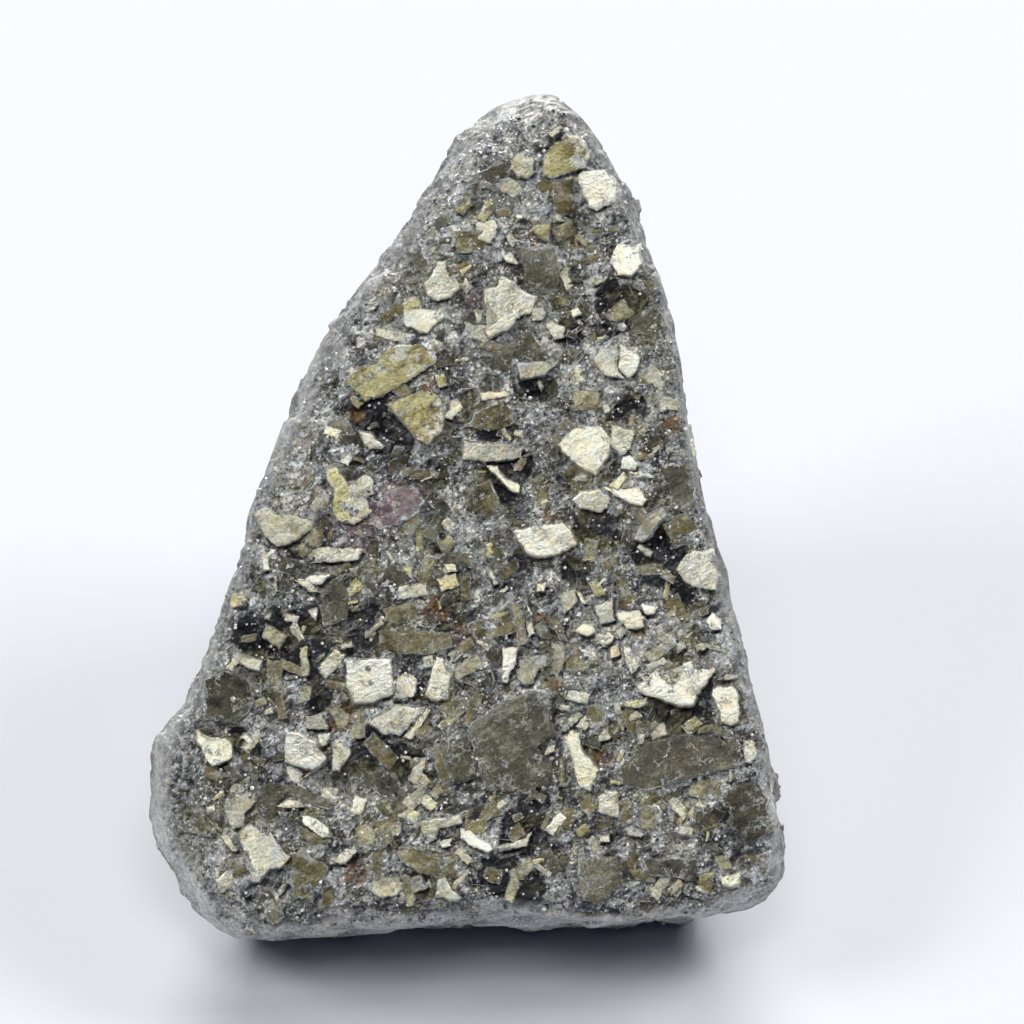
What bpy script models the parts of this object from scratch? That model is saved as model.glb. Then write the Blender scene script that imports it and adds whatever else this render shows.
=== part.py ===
"""Rough pyrite chunk: one natural piece, flat-faced crystals grown together in a dark granular mass.

The chunk stands on a flat broken base. Its broad, nearly flat front face leans back, and most of the
shape is described in the frame of that face, in millimetres: x to the right, t up along the face and
w straight out of it. The finished solid is turned into metres with Z up.
"""

import math
import random

import bmesh
import bpy
from mathutils import Matrix, Vector, noise
from mathutils.bvhtree import BVHTree

MM = 0.001
TINY = 1e-6

# Driving dimensions, in millimetres
FACE_LEAN = math.radians(45)  # the broad face, back from the horizontal
FACE_ORIGIN = Vector((2.20, -2.42, 21.2))  # where x = t = w = 0 lies above the middle of the base
BASE_ANCHOR = -20.0  # the t that the lower edges keep while the sections behind shrink
SECTION_MIDDLE = -1.5  # the x that each section shrinks towards
BODY_VOXEL = 0.5
BODY_TRIANGLES = 5000
THIN_FACE = 0.004
FLOOR_BLOCK = 120.0

# Unevenness of the surface. Lumps: height, width, and where their pattern starts
LUMPS = ((0.55, 6.5, Vector((0.0, 0.0, 0.0))), (0.25, 2.9, Vector((9.0, 1.0, 4.0))))
GRAIN_SIZE = 2.3  # width of one broken crystal in the mass
GRAIN_STEP = 0.80
SIDE_SHARE = 0.30  # how much of the lumps and grains shows on the flanks next to the face
FACE_SHARE = 0.20  # how much more shows on the face
BACK_SHARE = 0.70  # how much more shows on the back
BACK_DEPTHS = (5.0, 11.0)  # behind the face, where the back begins and where it is roughest
SIDE_SINK = 0.20  # how far the flanks next to the face lie inside the girth
LEDGE_STEP = 3.6  # from one ledge to the next on the back
LEDGE_HEIGHT = 0.7
LEDGE_BEND = 0.6  # how far the ledges wander, as a share of their step
LEDGE_WAVE = 5.0
LEDGE_WAY = Vector((0.25, 0.80, 0.55))
DEEPEST_HOLLOW = 1.2
FACE_RELIEF = (-0.6, 0.35)  # lowest and highest grain of the face

# Crystals
CRYSTAL_ROOT = 0.9  # how deep each front crystal is buried
CRYSTAL_TAPER = 0.93  # its top outline over its foot
FLANK_CRYSTALS = 54
FLANK_SIZES = (0.6, 1.15)  # smallest and largest, from the middle to a face
FLANK_SPACING = 2.6
FLANK_DEPTH = 8.0  # how far behind the face they begin
FLANK_SINK = 0.35  # how deep the middle lies, as a share of the size
FLANK_TIP = 0.9  # radians that they lean at most
FLANK_TRIES = 4000
CUBE_WIDTH = 1.9  # over the crystal's size, as for the two below
OCTAHEDRON_REACH = 1.5
PYRITOHEDRON_REACH = 0.8
BASE_CLEAR = 2.0  # flank crystals stay this far above the base
SEED = 8

# Edge of the sharp front face, clockwise from the apex
FACE_RIM = (
    (1.9, 20.8), (3.5, 18.9), (5.0, 16.7), (5.8, 14.8), (6.5, 13.1), (7.7, 10.8), (8.0, 8.6), (8.4, 6.4),
    (8.8, 4.1), (9.2, 1.6), (9.5, -0.9), (10.1, -2.6), (10.8, -4.9), (11.4, -7.1), (12.0, -9.4),
    (12.6, -11.6), (12.9, -14.4), (13.2, -16.6), (12.8, -18.0), (11.5, -18.8), (9.4, -19.5), (6.4, -20.1),
    (3.9, -20.3), (1.6, -19.6), (-0.6, -19.0), (-3.1, -19.6), (-5.8, -20.1), (-9.1, -20.3), (-12.1, -20.5),
    (-13.2, -20.0), (-13.9, -18.6), (-14.8, -16.6), (-15.5, -14.6), (-15.7, -12.6), (-16.0, -10.8),
    (-15.6, -8.9), (-14.8, -6.4), (-14.3, -4.4), (-13.4, -2.4), (-12.8, -0.4), (-11.8, 1.6), (-10.4, 3.6),
    (-9.3, 5.6), (-8.7, 7.8), (-8.0, 9.8), (-6.5, 11.8), (-4.6, 13.8), (-3.1, 15.6), (-1.7, 17.4),
    (0.3, 18.3),
)
# Widest outline, a few millimetres behind the face, clockwise from the apex
GIRTH = (
    (1.6, 21.0), (3.1, 20.4), (4.4, 18.6), (5.5, 16.6), (6.4, 14.8), (7.1, 12.5), (7.8, 10.6), (8.3, 8.6),
    (8.6, 6.6), (9.0, 4.1), (9.6, 1.6), (10.0, -0.4), (10.5, -2.9), (11.1, -4.9), (11.6, -6.9), (12.2, -8.9),
    (12.8, -11.4), (13.1, -13.9), (13.5, -15.9), (13.8, -17.4), (13.5, -18.6), (12.9, -19.6), (11.6, -20.1),
    (9.4, -20.3), (6.9, -20.6), (4.4, -20.9), (2.4, -20.9), (-0.6, -20.6), (-4.6, -21.0), (-9.1, -21.3),
    (-13.1, -21.5), (-14.8, -21.1), (-16.1, -20.1), (-17.1, -18.4), (-17.8, -16.4), (-18.2, -14.4),
    (-18.2, -12.6), (-18.0, -11.1), (-16.6, -10.4), (-15.8, -8.4), (-14.8, -6.1), (-14.3, -4.4),
    (-13.7, -2.4),
    (-13.1, 0.1), (-12.3, 2.1), (-11.3, 4.6), (-10.6, 6.6), (-9.3, 9.1), (-7.8, 11.3), (-6.3, 13.3),
    (-5.1, 15.3), (-3.8, 17.3), (-2.3, 19.3), (-0.6, 20.6), (0.9, 21.0),
)
OUTLINE_MIDDLE = (-1.5, -3.0)  # every outline is star-shaped about this point
OUTLINE_STEPS = 120

# Sections from the face backwards: depth behind the face, share of the way from rim to girth,
# width over the girth's width, length over the girth's length
SECTIONS = (
    (0.0, 0.0, 1.0, 1.0),
    (0.5, 0.3, 1.0, 1.0),
    (1.6, 0.7, 1.0, 1.0),
    (4.2, 1.0, 1.0, 1.0),
    (6.5, 1.0, 0.99, 0.97),
    (9.5, 1.0, 0.96, 0.90),
    (13.5, 1.0, 0.90, 0.78),
    (17.5, 1.0, 0.80, 0.64),
    (21.0, 1.0, 0.68, 0.50),
    (23.5, 1.0, 0.55, 0.38),
)

# Broken planes that cut the flanks and the back: a point on each and the way it faces
FRACTURES = (
    ((13.9, -18.6, -4.4), (0.70, -0.34, -0.63)),
    ((8.5, -2.0, -13.5), (0.86, 0.12, -0.50)),
    ((-9.0, 1.0, -11.0), (-0.72, 0.42, -0.56)),
    ((-1.0, 13.4, -13.0), (0.10, 0.72, -0.69)),
    ((-18.3, -15.0, -5.2), (-0.74, -0.24, -0.63)),
    ((3.0, -6.0, -21.5), (0.28, 0.20, -0.94)),
    ((-8.0, -8.0, -19.5), (-0.38, 0.12, -0.92)),
)

# Hollows in the front face: x, t, radius, depth
PITS = (
    (5.4, 10.4, 1.3, 1.0), (-4.6, -18.9, 0.9, 0.9), (8.9, -10.3, 1.9, 0.5), (-11.2, -7.2, 2.4, 0.4),
    (-12.1, -14.9, 0.9, 0.6), (-6.0, 4.5, 1.0, 0.7), (-0.9, 1.9, 0.9, 0.6), (-3.9, -1.7, 0.7, 0.6),
    (-7.3, 3.7, 0.6, 0.4), (1.2, 6.2, 1.3, 0.5), (0.4, -3.3, 1.2, 0.4), (8.0, -4.6, 1.3, 0.4),
    (-8.5, -3.4, 1.5, 0.4), (-9.4, -11.0, 0.8, 0.4), (3.9, -12.0, 0.6, 0.8), (4.0, -5.9, 0.9, 0.3),
)

# Front crystals: height above the mass, slope along x, slope along t, outline
FRONT_CRYSTALS = (
    # apex
    (0.45, 0.10, 0.05, ((3.2, 16.7), (3.5, 17.1), (4.6, 17.1), (5.1, 16.7), (5.3, 16.0), (4.2, 15.1),
                        (3.8, 15.2))),
    (0.40, -0.05, 0.10, ((-0.1, 17.8), (0.7, 18.1), (1.1, 17.6), (1.1, 16.8), (0.3, 16.6), (-0.2, 17.0))),
    (0.35, 0.15, 0.15, ((1.4, 16.8), (1.6, 17.8), (2.1, 18.5), (3.1, 18.8), (3.7, 18.4), (3.7, 17.2),
                        (2.0, 16.7))),
    (0.30, 0.05, -0.10, ((4.9, 12.5), (5.0, 13.2), (6.4, 13.4), (6.5, 12.4), (6.0, 11.7), (5.3, 11.8))),
    (0.25, 0.00, 0.10, ((0.4, 13.1), (2.2, 13.2), (2.3, 11.4), (1.6, 10.6), (0.6, 11.5))),
    # upper left
    (0.40, 0.05, 0.10, ((-3.7, 12.5), (-3.3, 12.6), (-3.2, 11.8), (-2.6, 11.2), (-3.1, 10.7), (-4.2, 10.7),
                        (-4.4, 11.3))),
    (0.40, 0.00, -0.10, ((-5.4, 10.1), (-3.4, 10.2), (-3.4, 9.7), (-4.2, 8.9), (-4.6, 9.0), (-5.4, 9.4))),
    (0.50, -0.10, 0.05, ((-1.4, 11.1), (-0.6, 11.8), (0.0, 11.6), (1.2, 10.8), (1.0, 10.0), (-0.2, 9.1),
                         (-1.2, 8.7), (-1.4, 9.1), (-0.9, 9.8), (-1.4, 10.4))),
    (0.45, 0.10, 0.10, ((-6.3, 8.0), (-5.5, 8.5), (-4.7, 8.5), (-3.7, 7.7), (-4.1, 7.3), (-5.6, 6.6),
                        (-6.3, 7.1))),
    (0.35, -0.15, 0.10, ((-8.3, 7.3), (-7.6, 7.8), (-6.6, 7.7), (-6.4, 6.6), (-6.9, 5.7), (-7.6, 5.8),
                         (-8.3, 6.4))),
    (0.40, 0.10, 0.00, ((-6.3, 5.4), (-4.7, 6.3), (-3.7, 6.0), (-3.6, 4.1), (-4.2, 3.6), (-5.0, 3.8))),
    (0.25, 0.10, 0.10, ((-7.7, 4.0), (-7.1, 3.9), (-6.4, 3.3), (-7.1, 3.1), (-7.6, 3.6))),
    # middle
    (0.50, -0.05, -0.05, ((2.2, 3.4), (3.1, 4.2), (4.4, 4.4), (5.0, 3.6), (4.8, 2.9), (4.1, 1.8),
                          (3.1, 2.4))),
    (0.40, 0.10, 0.05, ((4.9, 4.3), (6.1, 4.0), (5.9, 3.1), (5.4, 2.8), (4.9, 3.3))),
    (0.35, 0.05, 0.05, ((5.4, 8.4), (6.4, 7.8), (6.2, 7.1), (5.8, 6.7), (4.6, 6.8), (4.1, 7.5), (4.4, 8.1))),
    (0.30, -0.15, 0.10, ((0.2, 7.5), (2.4, 7.6), (1.6, 6.9), (0.4, 6.7))),
    (0.35, 0.15, -0.10, ((-1.4, 2.4), (-0.7, 2.3), (0.4, 1.4), (0.4, 0.9), (0.0, 1.0))),
    (0.40, 0.00, 0.10, ((3.0, 0.6), (3.4, 1.0), (4.4, 1.1), (4.9, 0.7), (4.4, 0.0), (3.4, 0.2))),
    (0.35, 0.05, -0.10, ((4.7, 1.3), (6.4, 1.1), (6.8, 0.6), (6.4, 0.3), (5.9, 0.4))),
    (0.35, 0.15, 0.10, ((6.1, -1.4), (6.4, -0.6), (7.2, 0.1), (7.7, 0.0), (6.9, -1.1), (6.5, -1.5))),
    (0.50, 0.05, 0.00, ((0.1, -0.9), (1.2, -0.6), (2.6, -0.5), (3.3, -1.6), (1.7, -2.3), (0.8, -2.1),
                        (0.4, -1.6))),
    (0.30, -0.10, 0.05, ((-2.5, 3.6), (0.6, 3.3), (0.4, 2.7), (-1.3, 2.5), (-2.5, 2.6))),
    (0.25, 0.05, 0.20, ((-2.4, 1.1), (-1.1, 1.6), (-0.6, 0.4), (-1.1, -0.4), (-2.2, 0.1))),
    # right edge
    (0.40, 0.15, 0.05, ((8.4, -2.5), (9.0, -1.8), (9.9, -1.9), (10.3, -3.2), (9.9, -3.9), (9.1, -3.8))),
    (0.35, -0.10, 0.10, ((5.4, -5.0), (6.4, -4.5), (6.6, -5.0), (6.5, -5.9), (5.8, -6.0))),
    (0.30, 0.10, 0.10, ((3.3, -5.9), (4.1, -5.5), (5.1, -6.0), (5.3, -6.4), (3.9, -6.4))),
    (0.45, 0.05, 0.10, ((6.2, -8.5), (6.8, -8.2), (8.3, -8.4), (8.9, -7.5), (9.6, -7.3), (10.2, -7.8),
                        (9.0, -9.1), (8.1, -9.4), (6.9, -9.1))),
    (0.40, 0.10, -0.05, ((10.0, -8.9), (10.5, -8.6), (11.3, -9.0), (11.4, -10.0), (11.0, -10.6),
                         (10.5, -10.4))),
    (0.30, -0.15, 0.10, ((4.4, -2.9), (5.4, -2.8), (6.0, -4.3), (5.0, -4.3))),
    # left and lower left
    (0.35, -0.10, 0.10, ((-12.5, 0.0), (-11.3, 0.3), (-10.1, -0.4), (-10.3, -1.1), (-11.3, -1.6),
                         (-12.5, -1.0))),
    (0.40, 0.10, 0.05, ((-8.8, 0.4), (-8.1, 0.8), (-7.2, 0.6), (-7.6, -0.9), (-8.5, -0.8))),
    (0.35, 0.10, 0.15, ((-6.7, 0.6), (-5.8, 1.1), (-4.8, 1.2), (-4.4, 0.4), (-5.1, -0.3), (-7.0, -0.7))),
    (0.50, 0.00, 0.05, ((-8.2, -7.4), (-6.1, -7.3), (-6.1, -8.9), (-6.7, -9.5), (-7.5, -9.7), (-8.2, -9.2))),
    (0.45, 0.05, 0.10, ((-4.4, -9.2), (-3.8, -7.3), (-3.3, -7.9), (-3.0, -8.2), (-3.2, -9.4))),
    (0.35, 0.00, 0.15, ((-6.6, -6.0), (-4.1, -6.0), (-3.0, -6.2), (-3.0, -6.8), (-4.1, -7.1), (-6.6, -7.0))),
    (0.35, 0.10, 0.10, ((-7.1, -10.5), (-5.8, -9.7), (-4.6, -9.8), (-5.6, -11.1), (-6.5, -11.1))),
    (0.35, -0.10, 0.10, ((-15.7, -11.2), (-14.5, -11.3), (-13.9, -11.9), (-14.1, -12.3), (-15.1, -12.6))),
    (0.50, 0.05, 0.05, ((-11.4, -11.1), (-10.6, -10.9), (-10.1, -11.2), (-9.7, -12.0), (-10.1, -12.9),
                        (-11.3, -12.3))),
    (0.35, -0.10, 0.15, ((-14.3, -14.4), (-13.6, -14.1), (-12.7, -14.5), (-13.8, -15.8), (-14.3, -15.2))),
    (0.45, 0.10, -0.10, ((-13.6, -15.9), (-12.5, -15.6), (-11.3, -17.1), (-12.8, -18.6), (-13.3, -17.9))),
    (0.30, 0.15, 0.10, ((-10.6, -15.3), (-10.0, -15.1), (-8.9, -16.4), (-9.2, -16.8))),
    (0.35, -0.10, -0.15, ((-11.1, -17.1), (-10.3, -16.7), (-9.6, -17.5), (-9.7, -18.9), (-10.6, -19.3))),
    (0.25, -0.10, 0.10, ((-15.2, -8.4), (-13.6, -7.7), (-12.9, -9.4), (-13.6, -10.5), (-15.2, -10.3))),
    # lower middle
    (0.35, 0.00, 0.05, ((-3.5, -11.6), (-2.1, -9.7), (1.4, -9.7), (2.0, -11.4), (1.6, -13.9), (-1.6, -14.1),
                        (-3.1, -13.6))),
    (0.45, 0.10, -0.05, ((2.6, -11.3), (3.0, -10.9), (3.4, -11.1), (4.3, -12.9), (3.9, -14.0), (3.4, -13.8))),
    (0.35, 0.00, 0.10, ((4.3, -14.3), (4.7, -14.0), (5.3, -14.0), (5.3, -15.2), (4.3, -15.0))),
    (0.30, 0.15, 0.05, ((5.5, -14.4), (7.1, -14.7), (7.2, -15.9), (5.4, -15.6))),
    (0.30, -0.05, -0.10, ((5.4, -12.8), (6.6, -11.7), (8.4, -11.2), (10.4, -11.3), (11.5, -12.1),
                          (11.1, -12.8), (6.9, -13.9), (5.5, -13.6))),
    (0.30, 0.10, 0.10, ((-4.5, -15.4), (-2.6, -15.2), (-2.5, -15.6), (-3.7, -16.3), (-4.2, -16.5))),
    (0.30, 0.05, -0.15, ((-2.6, -15.8), (-2.2, -15.8), (-0.9, -16.9), (-1.2, -17.1), (-2.1, -16.7))),
    (0.30, 0.10, 0.10, ((-3.8, -18.4), (-3.3, -18.3), (-2.5, -19.2), (-3.7, -19.2))),
    (0.35, 0.05, -0.10, ((3.3, -17.3), (5.3, -17.1), (5.4, -18.7), (4.4, -19.6), (3.3, -19.4))),
    (0.30, -0.05, 0.10, ((6.4, -17.2), (9.2, -17.4), (9.2, -18.5), (6.9, -18.2))),
    (0.30, 0.10, 0.05, ((10.8, -13.9), (12.1, -13.4), (12.6, -14.4), (12.5, -16.1), (11.6, -16.5),
                        (10.9, -15.2))),
    (0.30, 0.00, -0.15, ((10.3, -18.2), (11.4, -18.1), (11.2, -18.7), (10.5, -18.7))),
    (0.25, 0.00, 0.10, ((-5.6, -16.9), (-4.6, -16.7), (-3.6, -17.5), (-3.7, -18.1), (-4.7, -17.9))),
)


def clear_scene():
    for obj in list(bpy.data.objects):
        bpy.data.objects.remove(obj)


def smooth_step(low, high, value):
    share = min(max((value - low) / (high - low), 0.0), 1.0)
    return share * share * (3.0 - 2.0 * share)


def radius_at(outline, angle):
    """Distance from the middle of an outline to its edge, in one direction."""
    middle = Vector(OUTLINE_MIDDLE)
    way = Vector((math.cos(angle), math.sin(angle)))
    reach = 0.0
    for index, point in enumerate(outline):
        start = Vector(point) - middle
        side = Vector(outline[(index + 1) % len(outline)]) - middle - start
        turn = way.cross(side)
        if abs(turn) < TINY:
            continue
        along = start.cross(way) / turn
        distance = start.cross(side) / turn
        if -TINY <= along <= 1.0 + TINY and distance > 0.0:
            reach = max(reach, distance)
    return reach


def section_points(depth, girth_share, width, length):
    """One closed section of the chunk, as points in the face frame."""
    points = []
    for step in range(OUTLINE_STEPS):
        angle = 2.0 * math.pi * step / OUTLINE_STEPS
        rim = radius_at(FACE_RIM, angle)
        reach = rim + girth_share * (radius_at(GIRTH, angle) - rim)
        x = OUTLINE_MIDDLE[0] + reach * math.cos(angle)
        t = OUTLINE_MIDDLE[1] + reach * math.sin(angle)
        x = SECTION_MIDDLE + (x - SECTION_MIDDLE) * width
        t = BASE_ANCHOR + (t - BASE_ANCHOR) * length
        points.append(Vector((x, t, -depth)))
    return points


def loft_sections():
    """The chunk's bulk, from the front face back to its rear, as a closed mesh."""
    bulk = bmesh.new()
    rings = []
    for section in SECTIONS:
        rings.append([bulk.verts.new(point) for point in section_points(*section)])
    for front, back in zip(rings, rings[1:]):
        for step in range(OUTLINE_STEPS):
            following = (step + 1) % OUTLINE_STEPS
            bulk.faces.new((front[step], back[step], back[following], front[following]))
    bulk.faces.new(rings[0])
    bulk.faces.new(reversed(rings[-1]))
    return bulk


def cut_fractures(bulk):
    """Breaks the bulk along flat planes and closes each break."""
    for point, facing in FRACTURES:
        everything = bulk.verts[:] + bulk.edges[:] + bulk.faces[:]
        cut = bmesh.ops.bisect_plane(
            bulk, geom=everything, plane_co=point, plane_no=Vector(facing).normalized(), clear_outer=True
        )
        rim = [item for item in cut["geom_cut"] if isinstance(item, bmesh.types.BMEdge)]
        bmesh.ops.holes_fill(bulk, edges=rim)


def object_from(name, shape):
    """An object in the scene that holds the shape, with its faces outward."""
    bmesh.ops.recalc_face_normals(shape, faces=shape.faces)
    mesh = bpy.data.meshes.new(name)
    shape.to_mesh(mesh)
    shape.free()
    obj = bpy.data.objects.new(name, mesh)
    bpy.context.scene.collection.objects.link(obj)
    return obj


def apply_modifiers(obj):
    graph = bpy.context.evaluated_depsgraph_get()
    baked = bpy.data.meshes.new_from_object(obj.evaluated_get(graph))
    obj.modifiers.clear()
    obj.data = baked


def pit_depth(x, t):
    """How far the hollows push the front face in at one place."""
    depth = 0.0
    for pit_x, pit_t, radius, pit in PITS:
        away = math.hypot(x - pit_x, t - pit_t) / radius
        depth = max(depth, pit * (1.0 - smooth_step(0.45, 1.0, away)))
    return depth


def broken_grain(place, size):
    """Height of the broken crystal surface: each grain is a flat patch with its own tilt and step."""
    centre = noise.voronoi(place / size)[1][0]
    seed = noise.cell_vector(centre * 91.7)
    slope = noise.cell_vector(centre * 53.3 + Vector((7.0, 3.0, 5.0))) - Vector((0.5, 0.5, 0.5))
    return (seed.x - 0.5) + slope.dot(place - centre * size)


def ledge_share(place):
    """Rises evenly across one ledge and drops back at its edge."""
    bend = LEDGE_BEND * noise.noise(place / LEDGE_WAVE + Vector((2.0, 8.0, 6.0)))
    along = place.dot(LEDGE_WAY) / LEDGE_STEP + bend
    return along - math.floor(along)


def roughen(obj):
    """Moves the surface in and out: broad lumps, broken grains, and the hollows of the front."""
    mesh = obj.data
    moves = []
    for vertex in mesh.vertices:
        place = vertex.co
        facing = vertex.normal
        front = smooth_step(0.55, 0.9, facing.z)
        behind = smooth_step(*BACK_DEPTHS, -place.z)
        lumps = sum(step * noise.noise(place / width + start) for step, width, start in LUMPS)
        grains = GRAIN_STEP * broken_grain(place, GRAIN_SIZE)
        share = SIDE_SHARE + FACE_SHARE * front + BACK_SHARE * behind
        height = share * (lumps + grains) - SIDE_SINK * (1.0 - front) * (1.0 - behind)
        height += behind * LEDGE_HEIGHT * (ledge_share(place) - 0.5)
        lowest, highest = FACE_RELIEF
        height = max(height, -DEEPEST_HOLLOW) if front < 0.5 else min(max(height, lowest), highest)
        moves.append(facing * height - Vector((0.0, 0.0, front * pit_depth(place.x, place.y))))
    for vertex, move in zip(mesh.vertices, moves):
        vertex.co += move
    mesh.update()


def rough_body():
    """The granular mass without its raised crystals, still uncut at the base."""
    bulk = loft_sections()
    cut_fractures(bulk)
    body = object_from("pyrite_chunk", bulk)
    remesh = body.modifiers.new("even", "REMESH")
    remesh.mode = "VOXEL"
    remesh.voxel_size = BODY_VOXEL
    apply_modifiers(body)
    roughen(body)
    body.data.calc_loop_triangles()
    thin = body.modifiers.new("thin", "DECIMATE")
    thin.ratio = BODY_TRIANGLES / len(body.data.loop_triangles)
    thin.use_collapse_triangulate = True
    apply_modifiers(body)
    return body


def front_height(tree, x, t):
    """Where the mass lies under one place of the front face."""
    hit = tree.ray_cast(Vector((x, t, 20.0)), Vector((0.0, 0.0, -1.0)))[0]
    return hit.z if hit is not None else -1.0


def front_crystal(tree, rise, slope_x, slope_t, outline):
    """A flat-topped crystal standing out of the front face."""
    middle = sum((Vector(point) for point in outline), Vector((0.0, 0.0))) / len(outline)
    heights = [front_height(tree, *point) for point in outline]
    top = sum(heights) / len(heights) + rise
    foot = min(heights) - CRYSTAL_ROOT
    shape = bmesh.new()
    upper = []
    lower = []
    for point in outline:
        place = middle + (Vector(point) - middle) * CRYSTAL_TAPER
        away = place - middle
        upper.append(shape.verts.new((place.x, place.y, top + slope_x * away.x + slope_t * away.y)))
        lower.append(shape.verts.new((point[0], point[1], foot)))
    shape.faces.new(upper)
    shape.faces.new(reversed(lower))
    for index in range(len(outline)):
        following = (index + 1) % len(outline)
        shape.faces.new((upper[index], lower[index], lower[following], upper[following]))
    return object_from("front_crystal", shape)


def octahedron(reach):
    """Eight triangles, with a tip at this reach along each axis."""
    shape = bmesh.new()
    for axis in range(3):
        for sign in (-1, 1):
            tip = Vector((0.0, 0.0, 0.0))
            tip[axis] = sign * reach
            shape.verts.new(tip)
    bmesh.ops.convex_hull(shape, input=shape.verts[:])
    return shape


def pyritohedron(size):
    """Twelve five-sided faces, the commonest closed form of pyrite."""
    rise = 0.5
    shape = bmesh.new()
    for sx in (-1, 1):
        for sy in (-1, 1):
            for sz in (-1, 1):
                shape.verts.new((sx * size, sy * size, sz * size))
    for first in (-1, 1):
        for second in (-1, 1):
            short = first * (1.0 - rise * rise) * size
            long = second * (1.0 + rise) * size
            shape.verts.new((0.0, short, long))
            shape.verts.new((short, long, 0.0))
            shape.verts.new((long, 0.0, short))
    bmesh.ops.convex_hull(shape, input=shape.verts[:])
    return shape


def flank_crystal(rng, place, facing):
    """A cube, an octahedron or a pyritohedron half sunk in the flank or the back."""
    size = rng.uniform(*FLANK_SIZES)
    kind = rng.choice(("cube", "cube", "octahedron", "pyritohedron"))
    if kind == "cube":
        shape = bmesh.new()
        bmesh.ops.create_cube(shape, size=size * CUBE_WIDTH)
    elif kind == "octahedron":
        shape = octahedron(size * OCTAHEDRON_REACH)
    else:
        shape = pyritohedron(size * PYRITOHEDRON_REACH)
    turn = Matrix.Rotation(rng.uniform(0.0, 2.0 * math.pi), 4, Vector((1.0, 2.0, 3.0)).normalized())
    tip_over = Matrix.Rotation(rng.uniform(-FLANK_TIP, FLANK_TIP), 4, Vector((3.0, -1.0, 1.0)).normalized())
    middle = Matrix.Translation(place - facing * size * FLANK_SINK)
    bmesh.ops.transform(shape, matrix=middle @ tip_over @ turn, verts=shape.verts)
    return object_from("flank_crystal", shape)


def flank_places(body, rng):
    """Seeded places for crystals on the flanks and the back, clear of each other and of the base."""
    faces = [face for face in body.data.polygons if face.normal.z < 0.3 and face.center.z < -FLANK_DEPTH]
    places = []
    for _ in range(FLANK_TRIES):
        face = rng.choice(faces)
        height = FACE_ORIGIN.z + math.sin(FACE_LEAN) * face.center.y + math.cos(FACE_LEAN) * face.center.z
        apart = all((face.center - other).length > FLANK_SPACING for other, _ in places)
        if height > BASE_CLEAR and apart:
            places.append((face.center.copy(), face.normal.copy()))
        if len(places) == FLANK_CRYSTALS:
            break
    return places


def join_solids(body, others, operation):
    """Joins each of the others to the body, or cuts it away, one at a time."""
    for other in others:
        step = body.modifiers.new("step", "BOOLEAN")
        step.operation = operation
        step.solver = "EXACT"
        step.object = other
        apply_modifiers(body)
        bpy.data.objects.remove(other)


def floor_block():
    """Everything under the flat base, as a block."""
    block = bmesh.new()
    bmesh.ops.create_cube(block, size=FLOOR_BLOCK, matrix=Matrix.Translation((0.0, 0.0, -FLOOR_BLOCK / 2.0)))
    return object_from("floor_block", block)


def face_to_world():
    """Turns the face frame into millimetres with Z up."""
    lean = Matrix.Rotation(FACE_LEAN, 4, "X")
    return Matrix.Translation(FACE_ORIGIN) @ lean


def keep_main_body(mesh):
    """Drops loose slivers that the cuts leave and faces too thin to matter, and leaves only triangles."""
    shape = bmesh.new()
    shape.from_mesh(mesh)
    left = set(shape.verts)
    islands = []
    while left:
        stack = [left.pop()]
        island = set(stack)
        while stack:
            for edge in stack.pop().link_edges:
                for vertex in edge.verts:
                    if vertex in left:
                        left.remove(vertex)
                        island.add(vertex)
                        stack.append(vertex)
        islands.append(island)
    islands.sort(key=len)
    for island in islands[:-1]:
        bmesh.ops.delete(shape, geom=list(island), context="VERTS")
    bmesh.ops.dissolve_degenerate(shape, dist=THIN_FACE, edges=shape.edges[:])
    bmesh.ops.triangulate(shape, faces=shape.faces[:])
    shape.to_mesh(mesh)
    shape.free()


def pyrite_material():
    material = bpy.data.materials.new("pyrite")
    material.use_nodes = True
    shader = material.node_tree.nodes["Principled BSDF"]
    shader.inputs["Base Color"].default_value = (0.42, 0.37, 0.25, 1.0)
    shader.inputs["Metallic"].default_value = 0.9
    shader.inputs["Roughness"].default_value = 0.4
    return material


def build_chunk():
    rng = random.Random(SEED)
    body = rough_body()
    tree = BVHTree.FromObject(body, bpy.context.evaluated_depsgraph_get())
    crystals = [front_crystal(tree, *crystal) for crystal in FRONT_CRYSTALS]
    crystals += [flank_crystal(rng, *place) for place in flank_places(body, rng)]
    join_solids(body, crystals, "UNION")
    body.data.transform(face_to_world())
    join_solids(body, [floor_block()], "DIFFERENCE")
    keep_main_body(body.data)
    body.data.transform(Matrix.Scale(MM, 4))
    body.data.materials.clear()
    body.data.materials.append(pyrite_material())
    return body


clear_scene()
build_chunk()
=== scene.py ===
import itertools
import math
import random

import bmesh
import bpy
import numpy as np
from mathutils import Matrix, Vector
from mathutils.bvhtree import BVHTree


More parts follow.
